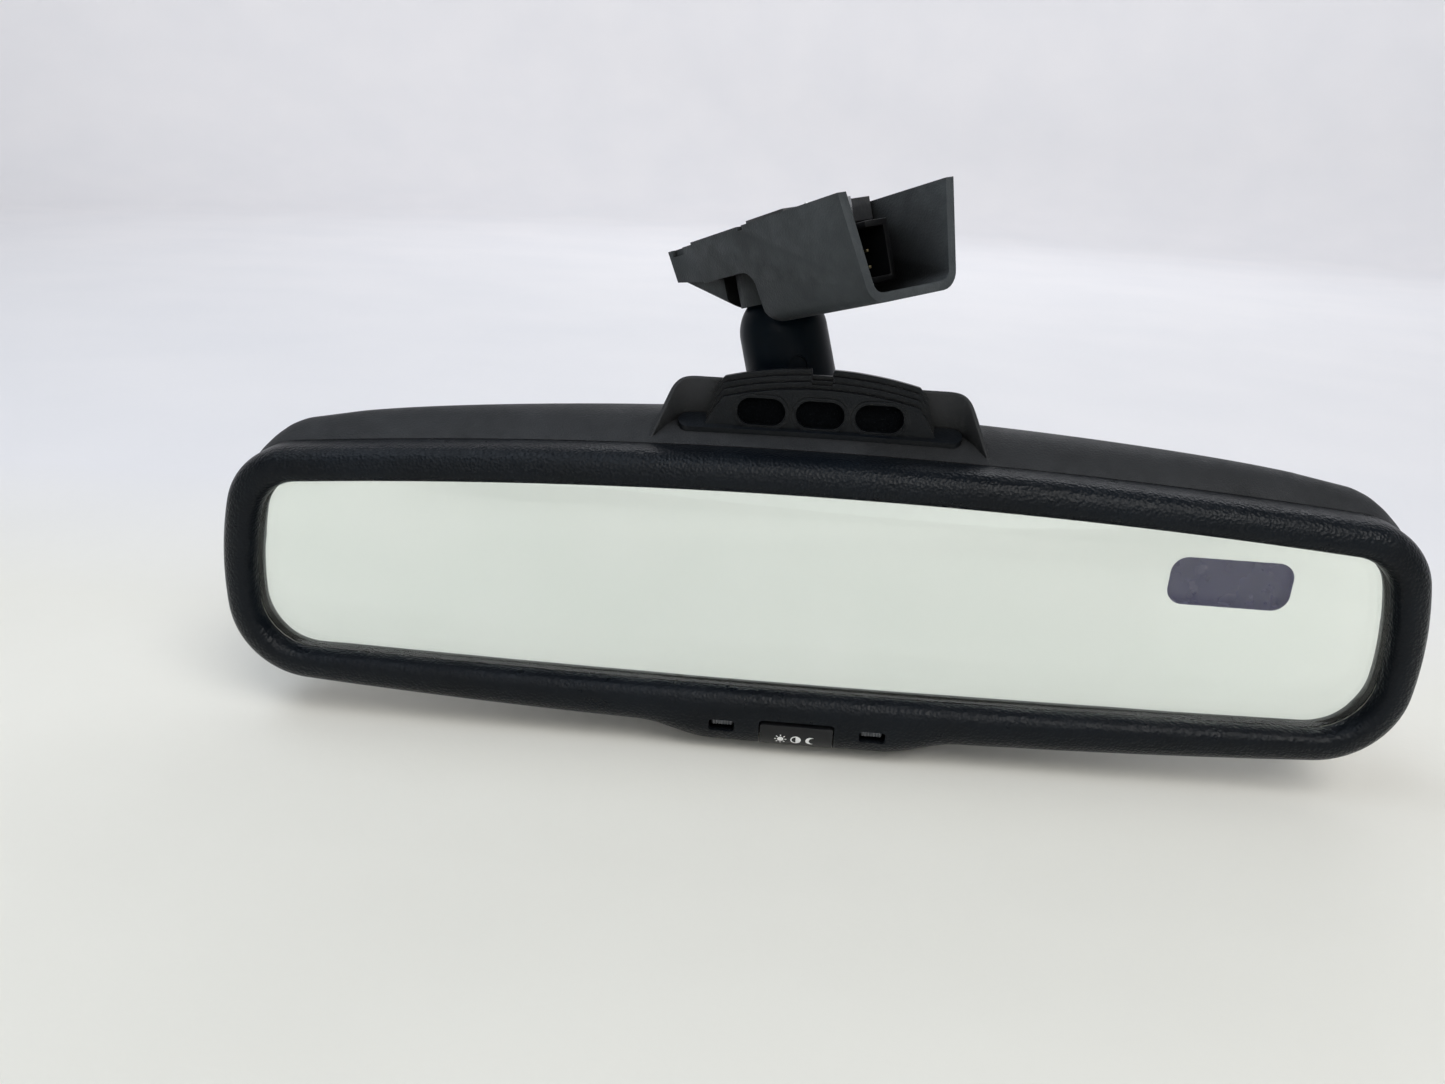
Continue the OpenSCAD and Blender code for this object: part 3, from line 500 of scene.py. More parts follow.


# The shell, shroud, cover and connector materials get painted shade in their closed-in places.
MATERIALS = {
    "frame_plastic": plastic("frame_plastic", (0.003, 0.0046, 0.007), 0.33, 0.35, 0.13, pebbles=0.7,
                             specular=0.15),
    "shell_plastic": plastic("shell_plastic", (0.0165, 0.0175, 0.0195), 0.58, 0.28, 0.07, pebbles=0.45,
                             specular=0.26, painted_shade_reach=10),
    "shroud_plastic": plastic("shroud_plastic", (0.038, 0.043, 0.047), 0.62, 0.25, 0.07, pebbles=0.45,
                              specular=0.17, painted_shade_reach=26),
    "sleeve_plastic": plastic("sleeve_plastic", (0.0012, 0.0036, 0.0066), 0.36, 0.2, 0.006, specular=0.07),
    "cover_plastic": plastic("cover_plastic", (0.0026, 0.004, 0.006), 0.36, 0.3, 0.05, pebbles=0.45,
                             specular=0.2, painted_shade_reach=4),
    "button_plastic": plastic("button_plastic", (0.009, 0.0095, 0.011), 0.38, 0.2, 0.008, specular=0.25),
    "clear_glass": clear_glass("clear_glass"),
    "mirror_coating": mirror_silver("mirror_coating"),
    "seal_resin": rubber("seal_resin", (0.42, 0.41, 0.36), 0.5, 0.5, 0.02),
    "spring_contact": metal("spring_contact", (0.7, 0.71, 0.72), 0.3, (0.05, 1, 1)),
    "foam": rubber("foam", (0.0016, 0.002, 0.0026), 0.9, 0.45, 0.2, specular=0.04),
    "carrier_plastic": plastic("carrier_plastic", (0.03, 0.03, 0.033), 0.55),
    "display_filter": display_blue("display_filter"),
    "display_body": plastic("display_body", (0.02, 0.021, 0.026), 0.3, coat=0.3),
    "board": board_laminate("board"),
    "chips": plastic("chips", (0.014, 0.014, 0.016), 0.5, 0.15, 0.008),
    "connector_white": plastic("connector_white", (0.68, 0.66, 0.58), 0.42, wear_and_highlight=0.1),
    "zinc_steel": metal("zinc_steel", (0.6, 0.61, 0.63), 0.32),
    "lens_plastic": ribbed_lens("lens_plastic"),
    "led_body": plastic("led_body", (0.75, 0.76, 0.72), 0.3, wear_and_highlight=0.0),
    "sensor_black": plastic("sensor_black", (0.015, 0.015, 0.018), 0.2, coat=0.5),
    "mic_can": metal("mic_can", (0.66, 0.67, 0.68), 0.35),
    "stud_steel": metal("stud_steel", (0.3, 0.31, 0.33), 0.38, (1, 1, 0.1)),
    "tube_steel": metal("tube_steel", (0.24, 0.25, 0.27), 0.4, (1, 1, 0.1)),
    "spring_steel": metal("spring_steel", (0.5, 0.51, 0.53), 0.3),
    "acetal": plastic("acetal", (0.7, 0.68, 0.62), 0.45, wear_and_highlight=0.1),
    "bracket_zinc": plastic("bracket_zinc", (0.02, 0.021, 0.023), 0.45, 0.5, 0.04, pebbles=0.7, wear_and_highlight=0.6,
                            specular=0.3),
    "connector_black": plastic("connector_black", (0.004, 0.0042, 0.005), 0.4, specular=0.12, painted_shade_reach=8),
    "pin_metal": metal("pin_metal", (0.3, 0.25, 0.15), 0.35),
    "lead_sheath": rubber("lead_sheath", (0.014, 0.014, 0.016), 0.55, 0.8, 0.02),
}
WHITE_INK = ink("white_ink")

# ---- outlines of the head, in its own millimetres ------------------------------------------------
# An outline is its top and top radius, its side, side radius and the height of the side's centre, its bottom
# and bottom radius, and the radii of its upper and lower corners.
GLASS_TOP, GLASS_LOW, GLASS_SIDE = 24.4, -22.65, 125
FRAME_W, FRAME_LOW_W, CHIN_DROP, FRAME_PROUD = 7.9, 10.8, 3.4, 4
GLASS_LINE = (GLASS_TOP, 1350, GLASS_SIDE, 74, -7.5, GLASS_LOW, 4500, 10.5, 12)
FRAME_LINE = (GLASS_TOP + FRAME_W + 0.1, 1240, GLASS_SIDE + FRAME_W, 82, -6,
              GLASS_LOW - FRAME_LOW_W, 1600, 16.5, 19)
CHIN_HALF, CHIN_BLEND = 37, 17
LIP_OVER = 1.3
MIDDLE_X = 0.6
PART_Y, SEAM, WALL = 6, 0.15, 2
SPINE_HALF, SPINE_Z = 104, -1  # the line at the back that the housing narrows to
SHELL_MID, SHELL_END, SHELL_BULGE, BEND = 40, 21, 6.6, 2.6
STEPS, CORNER_STEPS, SIDE_STEPS = 56, 20, 16


def ease(t):
    """A smooth step from 0 to 1."""
    u = np.clip(t, 0, 1)
    return u * u * (3 - 2 * u)


def meet(c, r, d, q, side):
    """Where two circles meet."""
    v = d - c
    length = np.hypot(*v)
    a = (r * r - q * q + length * length) / (2 * length)
    h = math.sqrt(r * r - a * a)
    return c + v * a / length + side * np.array([v[1], -v[0]]) * h / length


def arc(c, r, start, end, n, first=0, last=0):
    """Points along an arc of n steps, with some left out at either end."""
    return [c + r * np.array([math.cos(a), math.sin(a)])
            for a in [start + (end - start) * i / n for i in range(first, n + 1 - last)]]


def bearing(c, p):
    """The direction from a centre to a point."""
    return math.atan2(p[1] - c[1], p[0] - c[0])


def outline(line):
    """The whole outline, clockwise from the middle of the top, at the CAD part's stations."""
    top, top_r, side, side_r, side_z, low, low_r, top_corner, low_corner = line
    ct, cb = np.array([0, top - top_r]), np.array([0, low + low_r])
    cs = np.array([side - side_r, side_z])
    kt = meet(ct, top_r - top_corner, cs, side_r - top_corner, 1)
    kb = meet(cb, low_r - low_corner, cs, side_r - low_corner, -1)
    xs = [SPINE_HALF * (i / STEPS) ** 1.15 for i in range(STEPS + 1)]
    half = [np.array([x, ct[1] + math.sqrt(top_r ** 2 - x * x)]) for x in xs]
    half += arc(kt, top_corner, bearing(ct, kt), bearing(cs, kt), CORNER_STEPS)
    half += arc(cs, side_r, bearing(cs, kt), bearing(cs, kb), SIDE_STEPS, 1, 1)
    half += arc(kb, low_corner, bearing(cs, kb), bearing(cb, kb), CORNER_STEPS)
    half += [np.array([x, cb[1] - math.sqrt(low_r ** 2 - x * x)]) for x in reversed(xs)]
    return np.array(half + [p * (-1, 1) for p in half[-2:0:-1]])


def grown(line, e):
    """The same outline moved outwards by e."""
    return (line[0] + e, line[1] + e, line[2] + e, line[3] + e, line[4], line[5] - e, line[6] + e,
            line[7] + e, line[8] + e)


def chinned(points):
    """The outline with its bottom lowered in the middle, round the button."""
    drop = CHIN_DROP * ease((CHIN_HALF - np.abs(points[:, 0] - MIDDLE_X)) / CHIN_BLEND)
    return points - np.stack([0 * drop, np.where(points[:, 1] < -20, drop, 0)], axis=1)


GLASS_PTS = outline(GLASS_LINE)
FRAME_PTS = chinned(outline(FRAME_LINE))
STATIONS = len(FRAME_PTS)


def across(t):
    """The share of the way from the glass outline to the frame outline, at angle t over the frame's front."""
    return 0.5 - 0.5 * math.copysign(abs(math.cos(t)) ** 0.8, math.cos(t))


def front_y(t):
    """The frame's front at angle t."""
    return 2 * across(t) - (FRAME_PROUD + 1) * max(0, math.sin(t)) ** 0.85 - 0.05


FRONT_SECTION = [(across(t), front_y(t)) for t in [math.pi * i / 40 for i in range(41)]]


def frame_ring(i, section, forward=0.0):
    """A section of the frame at one station."""
    a, b = GLASS_PTS[i], FRAME_PTS[i]
    return [(a[0] + (b[0] - a[0]) * s, y - forward, a[1] + (b[1] - a[1]) * s) for s, y in section]


# ---- front frame -------------------------------------------------------------------------------
BUTTON_HALF, BUTTON_TOP, BUTTON_GAP, POCKET_DEEP = 8.3, GLASS_LOW - 7, 0.3, 4.7
WINDOW_X, WINDOW_Z, WINDOW_W, WINDOW_H = 17.2, GLASS_LOW - 8.4, 5.9, 3.1
AHEAD, BELOW = -8, -60
BACK_SECTION = [(1, 5.6), (0.985, PART_Y), (0.83, PART_Y), (0.83, 1.5), (0.78, 0), (0.68, -1.6), (0.5, -2.1),
                (0.34, -1.6), (0.28, 0), (0.03, 0)]


def from_front(name, shape, depth):
    """A cutting or trimming prism that reaches from in front of the head to a depth."""
    return prism(name, shape, 1, AHEAD, depth, HEAD)


def front_bezel():
    rings = [frame_ring(i, FRONT_SECTION + BACK_SECTION) for i in range(STATIONS)]
    piece = ring_solid("front_bezel_moulding", rings, HEAD)
    pocket = rounded((MIDDLE_X - BUTTON_HALF - BUTTON_GAP, BELOW),
                     (MIDDLE_X + BUTTON_HALF + BUTTON_GAP, BUTTON_TOP + 1), 0.9)
    cut(piece, from_front("pocket", pocket, POCKET_DEEP))
    for s in (-1, 1):
        x = MIDDLE_X + s * WINDOW_X
        hole = rounded((x - WINDOW_W / 2, WINDOW_Z - WINDOW_H / 2),
                       (x + WINDOW_W / 2, WINDOW_Z + WINDOW_H / 2), 0.75)
        cut(piece, from_front("window", hole, 3))
    return dress(piece, "head", "frame_plastic", MATERIALS["frame_plastic"], "front_bezel", angle=50)


def low_middle(name, half, forward):
    """The frame's outer form near the middle of its lower edge, moved forward."""
    section = FRONT_SECTION + [(1, PART_Y), (0, PART_Y)]
    rings = [frame_ring(i, section, forward) for i in range(STATIONS)
             if GLASS_PTS[i][1] < 0 and abs(GLASS_PTS[i][0]) < half]
    return loft(name, rings, HEAD)


BUTTON_PROUD, BUTTON_DEEP = 0.15, 2.2
STEM_LOW = (MIDDLE_X - 2.5, 2, BUTTON_TOP - 3.1)
STEM_HIGH = (MIDDLE_X + 2.5, 3.4, BUTTON_TOP - 0.9)


def auto_button():
    piece = low_middle("auto_button_cap", 15, BUTTON_PROUD)
    face = rounded((MIDDLE_X - BUTTON_HALF, BELOW), (MIDDLE_X + BUTTON_HALF, BUTTON_TOP), 0.6)
    keep_inside(piece, from_front("face", face, BUTTON_DEEP))
    soften(piece, 0.25, 50)
    join(piece, box("stem", STEM_LOW, STEM_HIGH, HEAD))
    dress(piece, "button", "button_plastic", MATERIALS["button_plastic"], "auto_button", angle=40)


SYMBOL_Z = BUTTON_TOP - 3.9
SUN_X, SUN_R, RAY_START, RAY_END, RAY_HALF = MIDDLE_X - 3.5, 0.72, 0.95, 1.4, 0.12
DISC_R, DISC_HOLE_R, HALF_DISC_R = 1.2, 0.92, 1.05
MOON_X, MOON_R = MIDDLE_X + 3.4, 1.15
INK_LOW, INK_HIGH = 0.14, 0.18


def crescent(x, z, r):
    outer = arc(np.array([x, z]), r, math.radians(60), math.radians(300), 20)
    inner = arc(np.array([x + 0.55 * r, z]), r * 0.87, math.radians(275), math.radians(85), 16)
    return outer + inner


def sun_ray(a):
    """One ray of the sun, at angle a."""
    u, v = np.array([math.cos(a), math.sin(a)]), np.array([-math.sin(a), math.cos(a)])
    middle = np.array([SUN_X, SYMBOL_Z])
    return [middle + u * RAY_START + v * RAY_HALF, middle + u * RAY_START - v * RAY_HALF,
            middle + u * RAY_END - v * RAY_HALF, middle + u * RAY_END + v * RAY_HALF]


def stamp(name, shape):
    """A prism right through the button's face."""
    return prism(name, shape, 1, -9, 3, HEAD)


def button_symbols():
    """A sun, a half disc and a moon, in thin white ink on the button's face."""
    half_disc = arc(np.array([MIDDLE_X, SYMBOL_Z]), HALF_DISC_R, math.pi / 2, -math.pi / 2, 20)
    shapes = [circle(SUN_X, SYMBOL_Z, SUN_R, 24), half_disc, crescent(MOON_X, SYMBOL_Z, MOON_R)]
    prisms = [stamp("symbol", shape) for shape in shapes]
    disc = stamp("symbol", circle(MIDDLE_X, SYMBOL_Z, DISC_R, 40))
    prisms.append(cut(disc, prism("inside", circle(MIDDLE_X, SYMBOL_Z, DISC_HOLE_R, 40), 1, -10, 4, HEAD)))
    prisms += [stamp("ray", sun_ray(math.tau * k / 8)) for k in range(8)]
    piece = join(prisms[0], *prisms[1:])
    keep_inside(piece, low_middle("skin", 10, INK_HIGH))
    cut(piece, low_middle("under", 12, INK_LOW))
    cut(piece, box("back", (-20, 1, BELOW), (20, 9, -20), HEAD))
    piece.name = "auto_button_symbols"
    dress(piece, "button", "button_plastic", WHITE_INK)


# ---- housing -----------------------------------------------------------------------------------
RINGS = 22
TAPER_X, TAPER_POWER = 112, 1.6
BULGE_X, BULGE_Z = 134, 26


def depth(x, e):
    """How far back the housing reaches at x, grown by e."""
    taper = np.cos(np.pi / 2 * np.minimum(1, np.abs(x) / TAPER_X)) ** TAPER_POWER
    return SHELL_END + (SHELL_MID - SHELL_END) * taper + e


def shell_ring(f, e):
    """One ring of the housing's form grown by e, at angle f from the parting plane to the spine."""
    u, v = math.sin(f) ** (2 / BEND), math.cos(f) ** (2 / BEND)
    p = FRAME_PTS
    s = np.stack([np.clip(p[:, 0], -SPINE_HALF, SPINE_HALF), np.full(STATIONS, SPINE_Z)], axis=1)
    length = np.hypot(*(p - s).T)[:, None]
    q = s + (p - s) * (length + e) / length * v
    lift = SHELL_BULGE * 4 * u * (1 - u) * (1 - np.minimum(1, np.abs(p[:, 0]) / BULGE_X) ** 8)
    lift = np.where(p[:, 1] > 0, lift * np.minimum(1, p[:, 1] / BULGE_Z), 0)
    return np.stack([q[:, 0], PART_Y + SEAM + depth(q[:, 0], e) * u, q[:, 1] + lift], axis=1)


def shell_rings(e):
    """All rings of the housing's form grown by e; the last one lies flat on the spine."""
    rings = [shell_ring(math.pi / 2 * j / RINGS, e) for j in range(RINGS)]
    x = np.clip(FRAME_PTS[:, 0], -SPINE_HALF, SPINE_HALF)
    last = np.stack([x, PART_Y + SEAM + depth(x, e), np.full(STATIONS, SPINE_Z)], axis=1)
    return rings + [last]


def weld(obj):
    """Joins the points that fall together."""
    def merge(bm):
        bmesh.ops.remove_doubles(bm, verts=bm.verts, dist=2e-7)
        bmesh.ops.dissolve_degenerate(bm, edges=bm.edges, dist=1e-7)
        bmesh.ops.recalc_face_normals(bm, faces=bm.faces)
    edit(obj, merge)
    return obj


def shell_form(name, e):
    """The housing's form as a closed solid."""
    rings = shell_rings(e)
    n = STATIONS
    faces = grid(len(rings), n, False, True) + [tuple(range(n))]
    return weld(solid(name, np.concatenate(rings), faces, HEAD))


ARM_ROOM_R, ARM_REACH, ARM_LEAN, ARM_BACK = 10.9, 36, 17.2, (-0.6, 15.6)
MIC_Y, MIC_BACK, MIC_LOW = 10.6, 14.7, 32
SLOT_X, SLOT_Z, SLOT_W, SLOT_H, RIDGE_T = 12.9, 39.3, 10.6, 6, 0.8
MIC_ROOM_HALF, MIC_ROOM_LOW, MIC_ROOM_HIGH = 21, 27, 39
AMBIENT, AMBIENT_R = (46, 8), 3.1
BOSS_X, BOSS_Z, BOSS_R, BOSS_END = 17, (-4, -16), 3.2, 44
SCREW_R, SCREW_END, PLATE_Y = 1.2, 42.4, 38.2
VENT_X, VENT_STEP, VENT_HALF, VENT_LOW, VENT_HIGH = 62, 4.4, 0.8, -14.8, -5.2
INSIDE_Y, BEHIND_Y = 20, 60


def arm_space(r):
    """The room that the sleeve needs as the head moves about the ball."""
    points = ball_points(BALL, r)
    for s in (-1, 1):
        for b in ARM_BACK:
            lean, back = math.radians(ARM_LEAN), math.radians(b)
            points += ball_points((BALL[0] + ARM_REACH * s * math.sin(lean),
                                   BALL[1] + ARM_REACH * math.sin(back),
                                   BALL[2] + ARM_REACH * math.cos(lean)), r)
    return hull("arm_space", points, HEAD)


COLLAR_T, COLLAR_R, COLLAR_BASE = 1.2, 8, 29.5
COLLAR_CORNER, COLLAR_FOOT, COLLAR_BACK = (26.9, 7.6), (37.4, 7.3), 15.6
COLLAR_LOW, COLLAR_RISE, COLLAR_FALL = (8.3, 33.7), 1.93, 0.37
COLLAR_CREST = 13


def collar_line():
    """The rim seen from above, from the left foot round the back to the right foot."""
    foot = np.array(COLLAR_FOOT)
    bend = arc(np.array(COLLAR_CORNER), COLLAR_R, math.radians(39), math.radians(90), 24)
    half = [foot + (bend[0] - foot) * i / 24 for i in range(24)] + bend
    half += [np.array([COLLAR_CORNER[0] * (1 - i / 12), COLLAR_BACK]) for i in range(1, 12)]
    left = [np.array([MIDDLE_X - x, y]) for x, y in half]
    right = [np.array([MIDDLE_X + x, y]) for x, y in reversed(half)]
    return left + [np.array([MIDDLE_X, COLLAR_BACK])] + right


def collar_top(y):
    """The height of the rim at depth y: it climbs from the feet and levels off at the back."""
    climb = COLLAR_LOW[1] + COLLAR_RISE * (y - COLLAR_LOW[0])
    return climb - COLLAR_FALL * max(0, y - COLLAR_CREST) ** 2


def collar():
    line, loops = collar_line(), []
    for i, p in enumerate(line):
        d = line[min(len(line) - 1, i + 1)] - line[max(0, i - 1)]
        side = np.array([-d[1], d[0], 0]) / np.hypot(*d) * COLLAR_T / 2
        z = collar_top(p[1])
        base, top = np.array([p[0], p[1], COLLAR_BASE]), np.array([p[0], p[1], z - COLLAR_T / 2])
        crown = [top + side * math.cos(a) + np.array([0, 0, COLLAR_T / 2 * math.sin(a)])
                 for a in [math.pi * k / 8 for k in range(9)]]
        loops.append([base - side, base + side] + crown)
    return loft("collar", loops, HEAD)


def post(name, x, z, y0, y1, r, n=48):
    """A round post or hole along Y."""
    return prism(name, circle(x, z, r, n), 1, y0, y1, HEAD)


def shell_wall():
    """The housing's wall, open at the front."""
    outer, inner = shell_rings(0), shell_rings(-WALL)
    n = STATIONS
    rows = len(outer)
    faces = grid(rows, n, False, True)
    faces += [tuple(k + rows * n for k in reversed(f)) for f in grid(rows, n, False, True)]
    faces += [(i, (i + 1) % n, rows * n + (i + 1) % n, rows * n + i) for i in range(n)]
    return weld(solid("rear_shell_moulding", np.concatenate(outer + inner), faces, HEAD))


def rear_shell():
    piece = shell_wall()
    inside = shell_form("inside", -WALL)
    rim = collar()
    cut(rim, inside)
    join(piece, rim)
    for s in (-1, 1):
        for z in BOSS_Z:
            join(piece, cut(post("boss", s * BOSS_X, z, PLATE_Y, BOSS_END, BOSS_R),
                            post("hole", s * BOSS_X, z, PLATE_Y - 1, SCREW_END, SCREW_R)))
    cut(piece, arm_space(ARM_ROOM_R))
    cut(piece, box("opening", (MIDDLE_X - MIC_ROOM_HALF, MIC_Y + 1.4, MIC_ROOM_LOW),
                   (MIDDLE_X + MIC_ROOM_HALF, MIC_BACK - 1.1, MIC_ROOM_HIGH), HEAD))
    cut(piece, post("ambient", *AMBIENT, INSIDE_Y, BEHIND_Y, AMBIENT_R))
    for s in (-1, 1):
        for i in range(-2, 3):
            slot = rounded((s * VENT_X + VENT_STEP * i - VENT_HALF, VENT_LOW),
                           (s * VENT_X + VENT_STEP * i + VENT_HALF, VENT_HIGH), VENT_HALF - 0.001)
            cut(piece, prism("vent", slot, 1, INSIDE_Y, BEHIND_Y, HEAD))
    return dress(piece, "head", "shell_plastic", MATERIALS["shell_plastic"], "rear_shell", angle=35)


# ---- microphone cover --------------------------------------------------------------------------
FOOT_X, FOOT_Y, FOOT_R, FOOT_RISE = 28.8, 11.9, 2.4, 1.2
FOOT_FRONT, FOOT_BACK = 9.6, 14.6
MAIN_LOW_HALF, RIDGE_LOW_HALF, TOP_HALF = 27.4, 27, 22.8
MAIN_HIGH, RIDGE_HIGH, RIDGE_STEP = 44.8, 46.2, 1.3
CROWN_DROP, CROWN_X, SHOULDER_DROP, SHOULDER_FROM = 2.4, 20, 1.5, 0.93
TROUGH_LOW_HALF, TROUGH_HIGH_HALF, TROUGH_FLOOR, TROUGH_STEP = 2.2, 4.2, 45.6, 0.9
RIM_W, FLARE_W = 1.6, 0.7
HOLLOW_HALF, HOLLOW_LOW, HOLLOW_STEP_HALF, HOLLOW_STEP, HOLLOW_HIGH = 19.8, 30, 16.4, 41.2, 42.4


def mic_outline(half_low, half_high, high, low=MIC_LOW, n=40):
    """The cover seen from the front: a crowned top with eased shoulders on a wider foot."""
    xs = [half_high * math.sin(math.pi / 2 * i / n) for i in range(-n, n + 1)]
    tops = []
    for x in xs:
        shoulder = float(ease((abs(x) / half_high - SHOULDER_FROM) / (1 - SHOULDER_FROM)))
        tops.append((MIDDLE_X + x, high - CROWN_DROP * (x / CROWN_X) ** 2 - SHOULDER_DROP * shoulder))
    return [(MIDDLE_X - half_low, low)] + tops + [(MIDDLE_X + half_low, low)]


def foot_end(s, first, last):
    """The round end of the foot on one side, seen from above."""
    return [(s * FOOT_X + FOOT_R * math.cos(a), FOOT_Y + FOOT_R * math.sin(a))
            for a in np.radians(np.linspace(first, last, 20))]


def cover_ridge(i):
    """One of the three stepped ridges behind the slots, with its dip in the middle."""
    ridge = prism("ridge", mic_outline(RIDGE_LOW_HALF, TOP_HALF, RIDGE_HIGH + RIDGE_STEP * i), 1,
                  MIC_BACK - (3.5 - i) * RIDGE_T, MIC_BACK - (2 - i) * RIDGE_T, HEAD)
    floor = TROUGH_FLOOR + TROUGH_STEP * i
    trough = [(MIDDLE_X - TROUGH_LOW_HALF, floor), (MIDDLE_X + TROUGH_LOW_HALF, floor),
              (MIDDLE_X + TROUGH_HIGH_HALF, 60), (MIDDLE_X - TROUGH_HIGH_HALF, 60)]
    cut(ridge, prism("trough", trough, 1, 0, 30, HEAD))
    return soften(ridge, 0.3, 30, 3)


def mic_slot(name, i, wider, y0, y1):
    """The form of one slot, or of the rim or flare round it."""
    shape = obround(MIDDLE_X + i * SLOT_X, SLOT_Z, SLOT_W + wider, SLOT_H + wider)
    return prism(name, shape, 1, y0, y1, HEAD)


def microphone_cover():
    foot = foot_end(1, 80, -80) + [(0, FOOT_FRONT)] + foot_end(-1, 260, 100) + [(0, FOOT_BACK)]
    foot = [(MIDDLE_X + x, y) for x, y in foot]
    piece = prism("microphone_cover_moulding", foot, 2, 25, 45, HEAD)
    keep_inside(piece, shell_form("over", FOOT_RISE))
    front = mic_outline(MAIN_LOW_HALF, TOP_HALF, MAIN_HIGH)
    join(piece, soften(prism("main", front, 1, MIC_Y, MIC_BACK - 3 * RIDGE_T, HEAD), 0.8, 30, 4))
    for i in range(3):
        join(piece, cover_ridge(i))
    for i in (-1, 0, 1):
        join(piece, soften(mic_slot("rim", i, RIM_W, MIC_Y - 0.3, MIC_Y + 0.6), 0.25, 50, 3))
    cut(piece, shell_form("under", 0.08))
    for i in (-1, 0, 1):
        hole = mic_slot("slot", i, 0, MIC_Y - 3, MIC_Y + 3)
        cut(piece, hole, mic_slot("flare", i, FLARE_W, MIC_Y - 3, MIC_Y - 0.1))
    inner = [(-HOLLOW_HALF, HOLLOW_LOW), (HOLLOW_HALF, HOLLOW_LOW), (HOLLOW_HALF, HOLLOW_STEP),
             (HOLLOW_STEP_HALF, HOLLOW_STEP), (HOLLOW_STEP_HALF, HOLLOW_HIGH),
             (-HOLLOW_STEP_HALF, HOLLOW_HIGH), (-HOLLOW_STEP_HALF, HOLLOW_STEP), (-HOLLOW_HALF, HOLLOW_STEP)]
    inner = [(MIDDLE_X + x, z) for x, z in inner]
    cut(piece, prism("inner", inner, 1, MIC_Y + 1.5, MIC_BACK - 1.2, HEAD))
    return dress(piece, "head", "cover_plastic", MATERIALS["cover_plastic"], "microphone_cover", angle=35)


# ---- glass -------------------------------------------------------------------------------------
PLATE_T, CELL_GAP, REAR_INSET = 2, 0.15, 0.35
REAR_Y = PLATE_T + CELL_GAP
DISPLAY_LOW, DISPLAY_HIGH, DISPLAY_R = (77.6, 5.1), (103.2, 15.9), 3.6
TRAY_GAP, TRAY_WALL_R, TRAY_IN, TRAY_IN_R = 0.03, 3.57, 0.2, 3.4
TRAY_FLOOR = 0.3


def glass_plates():
    front = prism("front_glass_plate", outline(grown(GLASS_LINE, LIP_OVER)), 1, 0, PLATE_T, HEAD)
    soften(front, 0.25, 50, 2)
    dress(front, "head", "clear_glass", MATERIALS["clear_glass"], "front_glass", angle=30)
    rear_line = outline(grown(GLASS_LINE, LIP_OVER - REAR_INSET))
    rear = prism("rear_glass_plate", rear_line, 1, REAR_Y, REAR_Y + PLATE_T, HEAD)
    soften(rear, 0.2, 50, 2)
    cut(rear, prism("window", rounded(DISPLAY_LOW, DISPLAY_HIGH, DISPLAY_R, 16), 1, 0, 9, HEAD))
    dress(rear, "head", "mirror_coating", MATERIALS["mirror_coating"], "rear_glass", angle=30)


def display_window():
    """A dark tray in the rear plate's opening."""
    edge = rounded([v + TRAY_GAP for v in DISPLAY_LOW], [v - TRAY_GAP for v in DISPLAY_HIGH], TRAY_WALL_R, 16)
    inside = rounded([v + TRAY_IN for v in DISPLAY_LOW], [v - TRAY_IN for v in DISPLAY_HIGH], TRAY_IN_R, 16)
    tray = prism("display_window_filter", edge, 1, REAR_Y + 0.02, REAR_Y + PLATE_T + TRAY_FLOOR, HEAD)
    cut(tray, prism("inside", inside, 1, 0, REAR_Y + PLATE_T, HEAD))
    dress(tray, "head", "display_filter", MATERIALS["display_filter"], "display_window")


# ---- arm ---------------------------------------------------------------------------------------
SLEEVE_R, TUBE_R, BALL_GAP, SLEEVE_CLEAR, SLEEVE_OPENING = 10.2, 8.8, 35.66, 0.35, 43
SCOOP_R, SCOOP_Z, SCOOP_LOW, SCOOP_DEEP, SCOOP_TURN = 2, -7.4, -11, 0.8, 14


def arm_sleeve():
    turn = np.linspace(0, math.pi / 2 - math.radians(SLEEVE_OPENING), 24)
    inner_r = TUBE_R + SLEEVE_CLEAR
    outer = [(SLEEVE_R * math.cos(a), SLEEVE_R * math.sin(a)) for a in turn]
    inner = [(inner_r * math.cos(a), inner_r * math.sin(a)) for a in reversed(turn)]
    low = -BALL_GAP - 0.4
    foot = [(TUBE_R + 0.1, -2), (TUBE_R + 0.1, low), (SLEEVE_R + 0.1, low), (SLEEVE_R + 0.3, low + 0.3)]
    piece = lathe("arm_sleeve_moulding", outer + inner + foot, ARM, 128)
    turned = ARM @ Matrix.Rotation(math.radians(SCOOP_TURN), 4, "Z")
    arch = [(SCOOP_R * math.cos(a), SCOOP_Z + SCOOP_R * math.sin(a)) for a in np.linspace(0, math.pi, 20)]
    arch += [(-SCOOP_R, SCOOP_LOW), (SCOOP_R, SCOOP_LOW)]
    cut(piece, prism("scoop", arch, 1, -SLEEVE_R - 1, -SLEEVE_R + SCOOP_DEEP, turned))
    return dress(piece, "arm", "sleeve_plastic", MATERIALS["sleeve_plastic"], "arm_sleeve", angle=40)


